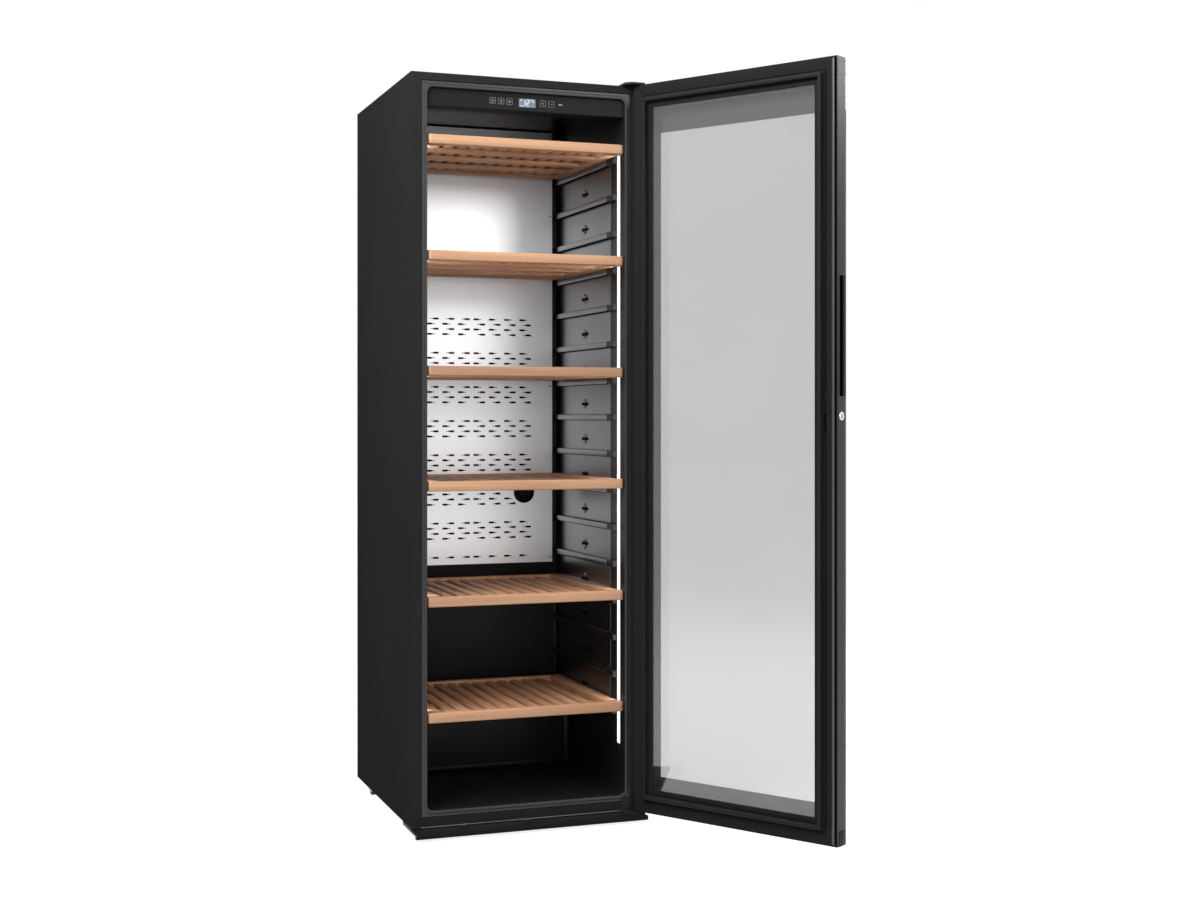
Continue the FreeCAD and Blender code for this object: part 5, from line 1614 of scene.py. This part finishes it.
# %% Fan guard
WIRE, GUARD_RADII, ARM_HALF = 0.7, (8, 15, 22, 28.5), 0.8 * MM
guard_y = plate_low.y + 0.4 * MM
guard = []
for radius in GUARD_RADII:
    near, far = (radius - WIRE) * MM, (radius + WIRE) * MM
    front, back = guard_y - 0.6 * MM, guard_y + 0.6 * MM
    wire = [(near, front), (far, front), (far, back), (near, back), (near, front)]
    guard.append(turned("wire", wire, (FAN[0], 0, FAN[1]), "Y", 40))
for reach, rise in ((FAN_HOLE, ARM_HALF), (ARM_HALF, FAN_HOLE)):
    guard.append(block((FAN[0] - reach, guard_y + 0.4 * MM, FAN[1] - rise),
                       (FAN[0] + reach, guard_y + 1.4 * MM, FAN[1] + rise)))
fit("fan_guard", joined("fan_guard", *guard), "black_plastic")
print("guard pieces", len(guard))

# %% [markdown]
# Three small dark rivets sit in the steel flange by the upper left corner of the opening. They only show as
# points of shade, but they tell the eye that the flange is folded sheet.

# %% Front rivets
flange_x, flange_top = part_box("left_side_panel")[0].x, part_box("top_panel")[1].z
rivets = [(flange_x + across * MM, FRONT - 0.1 * MM, flange_top - down * MM)
          for across, down in ((5.5, 20), (5.5, 42), (45, 6.5))]
rivet_finish = satin("rivet_dark", (0.045, 0.045, 0.047), 0.3, shine=0.3)
screws("front_rivets", rivets, "-Y", 1.9, 0.9, "charcoal_steel", rivet_finish)
print("rivets", len(rivets))

# %% [markdown]
# ## Base and machine bay
# Under the cabinet are a plastic plinth with a rounded lip, two levelling feet and two rollers. The
# compressor and the finned condenser stand in the bay behind the slotted cover.

# %% Plinth
plinth_low, plinth_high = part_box("plinth")
LIP_Y, LIP_FOOT, TRAY_TOP = plinth_low.y, plinth_low.z, plinth_high.z - 3 * MM
LIP_RADIUS, LIP_STEPS = 6 * MM, 6
lip_turns = [math.pi / 2 * step / LIP_STEPS for step in range(LIP_STEPS + 1)]
plinth_outline = [(LIP_Y + 0.6 * MM, TRAY_TOP), (LIP_Y, TRAY_TOP - 0.8 * MM)]
plinth_outline += [(LIP_Y + LIP_RADIUS * (1 - math.cos(turn)), LIP_FOOT + LIP_RADIUS * (1 - math.sin(turn)))
                   for turn in lip_turns]
plinth_outline += [
    (LIP_Y + 14 * MM, LIP_FOOT), (LIP_Y + 14 * MM, LIP_FOOT + 7 * MM), (plinth_high.y, LIP_FOOT + 7 * MM),
    (plinth_high.y, plinth_high.z), (FRONT, plinth_high.z), (FRONT, TRAY_TOP), (LIP_Y + 17 * MM, TRAY_TOP),
    (LIP_Y + 16 * MM, TRAY_TOP - 1.2 * MM), (LIP_Y + 13 * MM, TRAY_TOP - 1.2 * MM),
    (LIP_Y + 12 * MM, TRAY_TOP),
]
plinth = bevelled(extruded("plinth", "YZ", plinth_outline, plinth_low.x, plinth_high.x), 0.3 * MM)
plinth_finish = satin("plinth_plastic", (0.012, 0.012, 0.013), 0.36, shine=0.04)
fit("plinth_tray", plinth, "black_plastic", plinth_finish, ["plinth"])
clips = []
for x in (-5 * MM, -170 * MM):
    clip_low = (x - 11 * MM, FRONT - 13 * MM, TRAY_TOP - 1 * MM)
    clip_high = (x + 11 * MM, FRONT - 1 * MM, TRAY_TOP + 2.4 * MM)
    clips.append(bevelled(block(clip_low, clip_high), 1.4 * MM, 3))
fit("plinth_clips", joined("plinth_clips", *clips), "black_plastic")
print("plinth", plinth_low, plinth_high)

# %% [markdown]
# A levelling foot is a soft pad under a threaded stud with a nut. All three are turned. The thread is only a
# zigzag in the stud's profile, which looks right from any side and saves the trouble of a real screw line.

# %% Levelling feet
PAD = in_mm([(0, 0), (13.5, 0), (15.6, 0.8), (16, 2.4), (15.4, 6), (12, 8.6), (8, 10), (0, 10)])
NUT = in_mm([(0, 24), (8.2, 24), (9, 25), (9, 29), (8.2, 30), (0, 30)])
THREAD_TURNS, THREAD_DEPTH, THREAD_RISE = 42, 0.5, 0.75
crests = [(5 - THREAD_DEPTH * (i % 2), 9 + i * THREAD_RISE) for i in range(THREAD_TURNS)]
STUD = in_mm([(0, 9), *crests, (0, 40)])
feet_low, feet_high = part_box("levelling_feet")
feet = []
for side in (-1, 1):
    centre = (side * (feet_high.x - 16 * MM), (feet_low.y + feet_high.y) / 2, 0)
    feet += [turned("pad", PAD, centre), turned("stud", STUD, centre, steps=20),
             turned("nut", NUT, centre, steps=6)]
fit("levelling_feet_turned", joined("levelling_feet_turned", *feet), "aluminium", FINISH["bare_steel"],
    ["levelling_feet"])
print("feet", feet_low, feet_high)

# %% [markdown]
# Two rollers carry the back when the cooler is tipped. Each is turned from a section that closes on itself,
# so its bore stays open for the axle it spins on.

# %% Rollers
WHEEL = in_mm([
    (4.05, 0.4), (8, 0), (9, 1.2), (15, 1.2), (16, 0), (18.6, 0.2), (20, 1.6), (20, 9.4), (19.3, 10.2),
    (19.3, 11.8),
    (20, 12.6), (20, 20.4), (18.6, 21.8), (16, 22), (15, 20.8), (9, 20.8), (8, 22), (4.05, 21.6), (4.05, 0.4),
])
for node in ("left_rear_roller", "right_rear_roller"):
    low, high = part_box(node)
    roller = turned("roller", WHEEL, (low.x, (low.y + high.y) / 2, (low.z + high.z) / 2), "X")
    fit(f"{node}_tyre", roller, "roller_plastic", stands_for=[node], body=BODY_OF[node])
    print(node, low, high)

# %% [markdown]
# The compressor is a welded steel pot on four rubber feet, and pot and feet are turned. Its terminal box, the
# finned coil and the copper pipes are plain shapes, because the slotted cover hides most of them.

# %% Compressor
shell_low, shell_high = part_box("compressor")
SHELL_X, SHELL_Y = (shell_low.x + shell_high.x) / 2, (shell_low.y + shell_high.y) / 2
LEG_REACH, BOX_FOOT, BOX_TOP = 35 * MM, 75 * MM, 130 * MM
DOME = in_mm([
    (0, 10), (52, 10), (63, 14), (69, 24), (70, 40), (70, 84), (70, 92), (69.4, 94), (69.4, 99), (68.4, 101),
    (68, 124), (64, 142), (54, 155), (38, 162.5), (20, 164.8), (0, 165),
], shell_low.z)
LEG = in_mm([(0, 0), (8, 0), (10, 1.5), (10, 6), (7.5, 8), (7.5, 13), (9, 20), (0, 20)], shell_low.z)
hull = [turned("shell", DOME, (SHELL_X, SHELL_Y, 0), steps=64)]
for x in (-LEG_REACH, LEG_REACH):
    hull += [turned("leg", LEG, (SHELL_X + x, SHELL_Y + y, 0), steps=24) for y in (-LEG_REACH, LEG_REACH)]
fit("compressor_shell", joined("compressor_shell", *hull), "compressor_paint", stands_for=["compressor"])
terminal = block((shell_high.x - 12 * MM, SHELL_Y - 26 * MM, BOX_FOOT),
                 (shell_high.x + 22 * MM, SHELL_Y + 26 * MM, BOX_TOP))
fit("compressor_terminal_box", bevelled(terminal, 4 * MM, 3), "black_plastic")
print("compressor", shell_low, shell_high)

# %% Condenser
coil_low, coil_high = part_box("condenser")
FIN_COUNT, TUBE_ROWS = 48, 6
fin_depth, fin_foot, coil_width = coil_high.y - coil_low.y, coil_low.z + 8 * MM, coil_high.x - coil_low.x
metal = FINISH["aluminium"]
fin_place = (coil_low.x + 6 * MM, coil_low.y, (coil_high.z + fin_foot) / 2)
end_place = (coil_low.x + 0.8 * MM, coil_low.y, (coil_high.z + coil_low.z) / 2)
fins = bars(fin_depth, 0.7 * MM, coil_high.z - fin_foot, fin_place, ALONG_Y, metal, FIN_COUNT,
            (4 * MM, 0.0, 0.0), 0.2)
tubes = [bars(coil_width, 8 * MM, 8 * MM, (coil_low.x, coil_low.y + setback, fin_foot + 16 * MM), ALONG_X,
              metal, TUBE_ROWS, (0.0, 0.0, 24 * MM), 3.9) for setback in (22 * MM, 68 * MM)]
ends = bars(fin_depth, 1.6 * MM, coil_high.z - coil_low.z, end_place, ALONG_Y, metal, 2,
            (coil_width - 1.6 * MM, 0.0, 0.0), 0.2)
fit("condenser_coil", grow(nothing(), fins, *tubes, ends), "aluminium", stands_for=["condenser"])
print("condenser", coil_low, coil_high)


# %% Copper pipes
def pipe(name, points, radius):
    """A bent copper pipe through points in millimetres from the compressor's axis at floor level."""
    curve = bpy.data.curves.new(name, "CURVE")
    curve.dimensions, curve.use_fill_caps = "3D", True
    curve.bevel_depth, curve.bevel_resolution = radius * MM, 4
    spline = curve.splines.new("NURBS")
    spline.points.add(len(points) - 1)
    for point, (x, y, z) in zip(spline.points, points):
        point.co = (SHELL_X + x * MM, SHELL_Y + y * MM, z * MM, 1)
    spline.order_u, spline.use_endpoint_u, spline.resolution_u = 3, True, 8
    return smoothed(baked(held(curve)))


coil_x = (coil_low.x - SHELL_X) / MM
pipes = [
    pipe("suction", [(30, 0, 165), (30, 0, 210), (90, -20, 215), (coil_x + 20, -30, 210),
                     (coil_x + 20, -30, 170)], 4),
    pipe("discharge", [(-30, 20, 165), (-30, 20, 200), (20, 50, 205), (120, 50, 200), (120, 50, 50),
                       (coil_x + 4, 30, 50)], 3),
]
copper = satin("copper_pipe", (0.72, 0.34, 0.20), 0.3, metallic=1.0)
fit("copper_pipes", joined("copper_pipes", *pipes), "compressor_paint", copper)
print("pipes", len(pipes))

# %% [markdown]
# The cord gland is a plastic ring with a soft lip, pressed into the back sheet. It is turned from a closed
# section, so its hole stays open.

# %% Cord gland
gland_low, gland_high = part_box("cord_gland")
gland_centre = ((gland_low.x + gland_high.x) / 2, 0, (gland_low.z + gland_high.z) / 2)
gland_profile = [(4, 0), (9, 0), (9, 1.6), (8.2, 2.4), (6.4, 3.2), (5.2, 4), (4, 4), (4, 0)]
gland = turned("gland", in_mm(gland_profile, gland_low.y), gland_centre, "Y", 36)
fit("cord_gland_ring", gland, "black_plastic", stands_for=["cord_gland"])
print("gland", gland_centre)

# %% [markdown]
# ## Nodes that keep their own mesh
# What is already the right shape only needs its finish. The inner pane gets the coated glass. Lamps and
# bounced light go straight through the panes, while the eye and reflections still meet real glass.

# %% Finish the remaining nodes
for node, solid in frame["nodes"].items():
    for holder in solid.material_slots:
        holder.material = FINISH[SLOT_OF[node]]
frame["nodes"]["door_inner_glass"].material_slots[0].material = INNER_GLASS
# The evaporator takes the near-black finish: painted shade seen through the plate's slots.
frame["nodes"]["evaporator"].material_slots[0].material = SHADE_DARK_COIL
for pane in ("door_inner_glass", "door_outer_glass"):
    frame["nodes"][pane].visible_shadow = False
    frame["nodes"][pane].visible_diffuse = False
print("finishes given to", len(frame["nodes"]), "nodes")
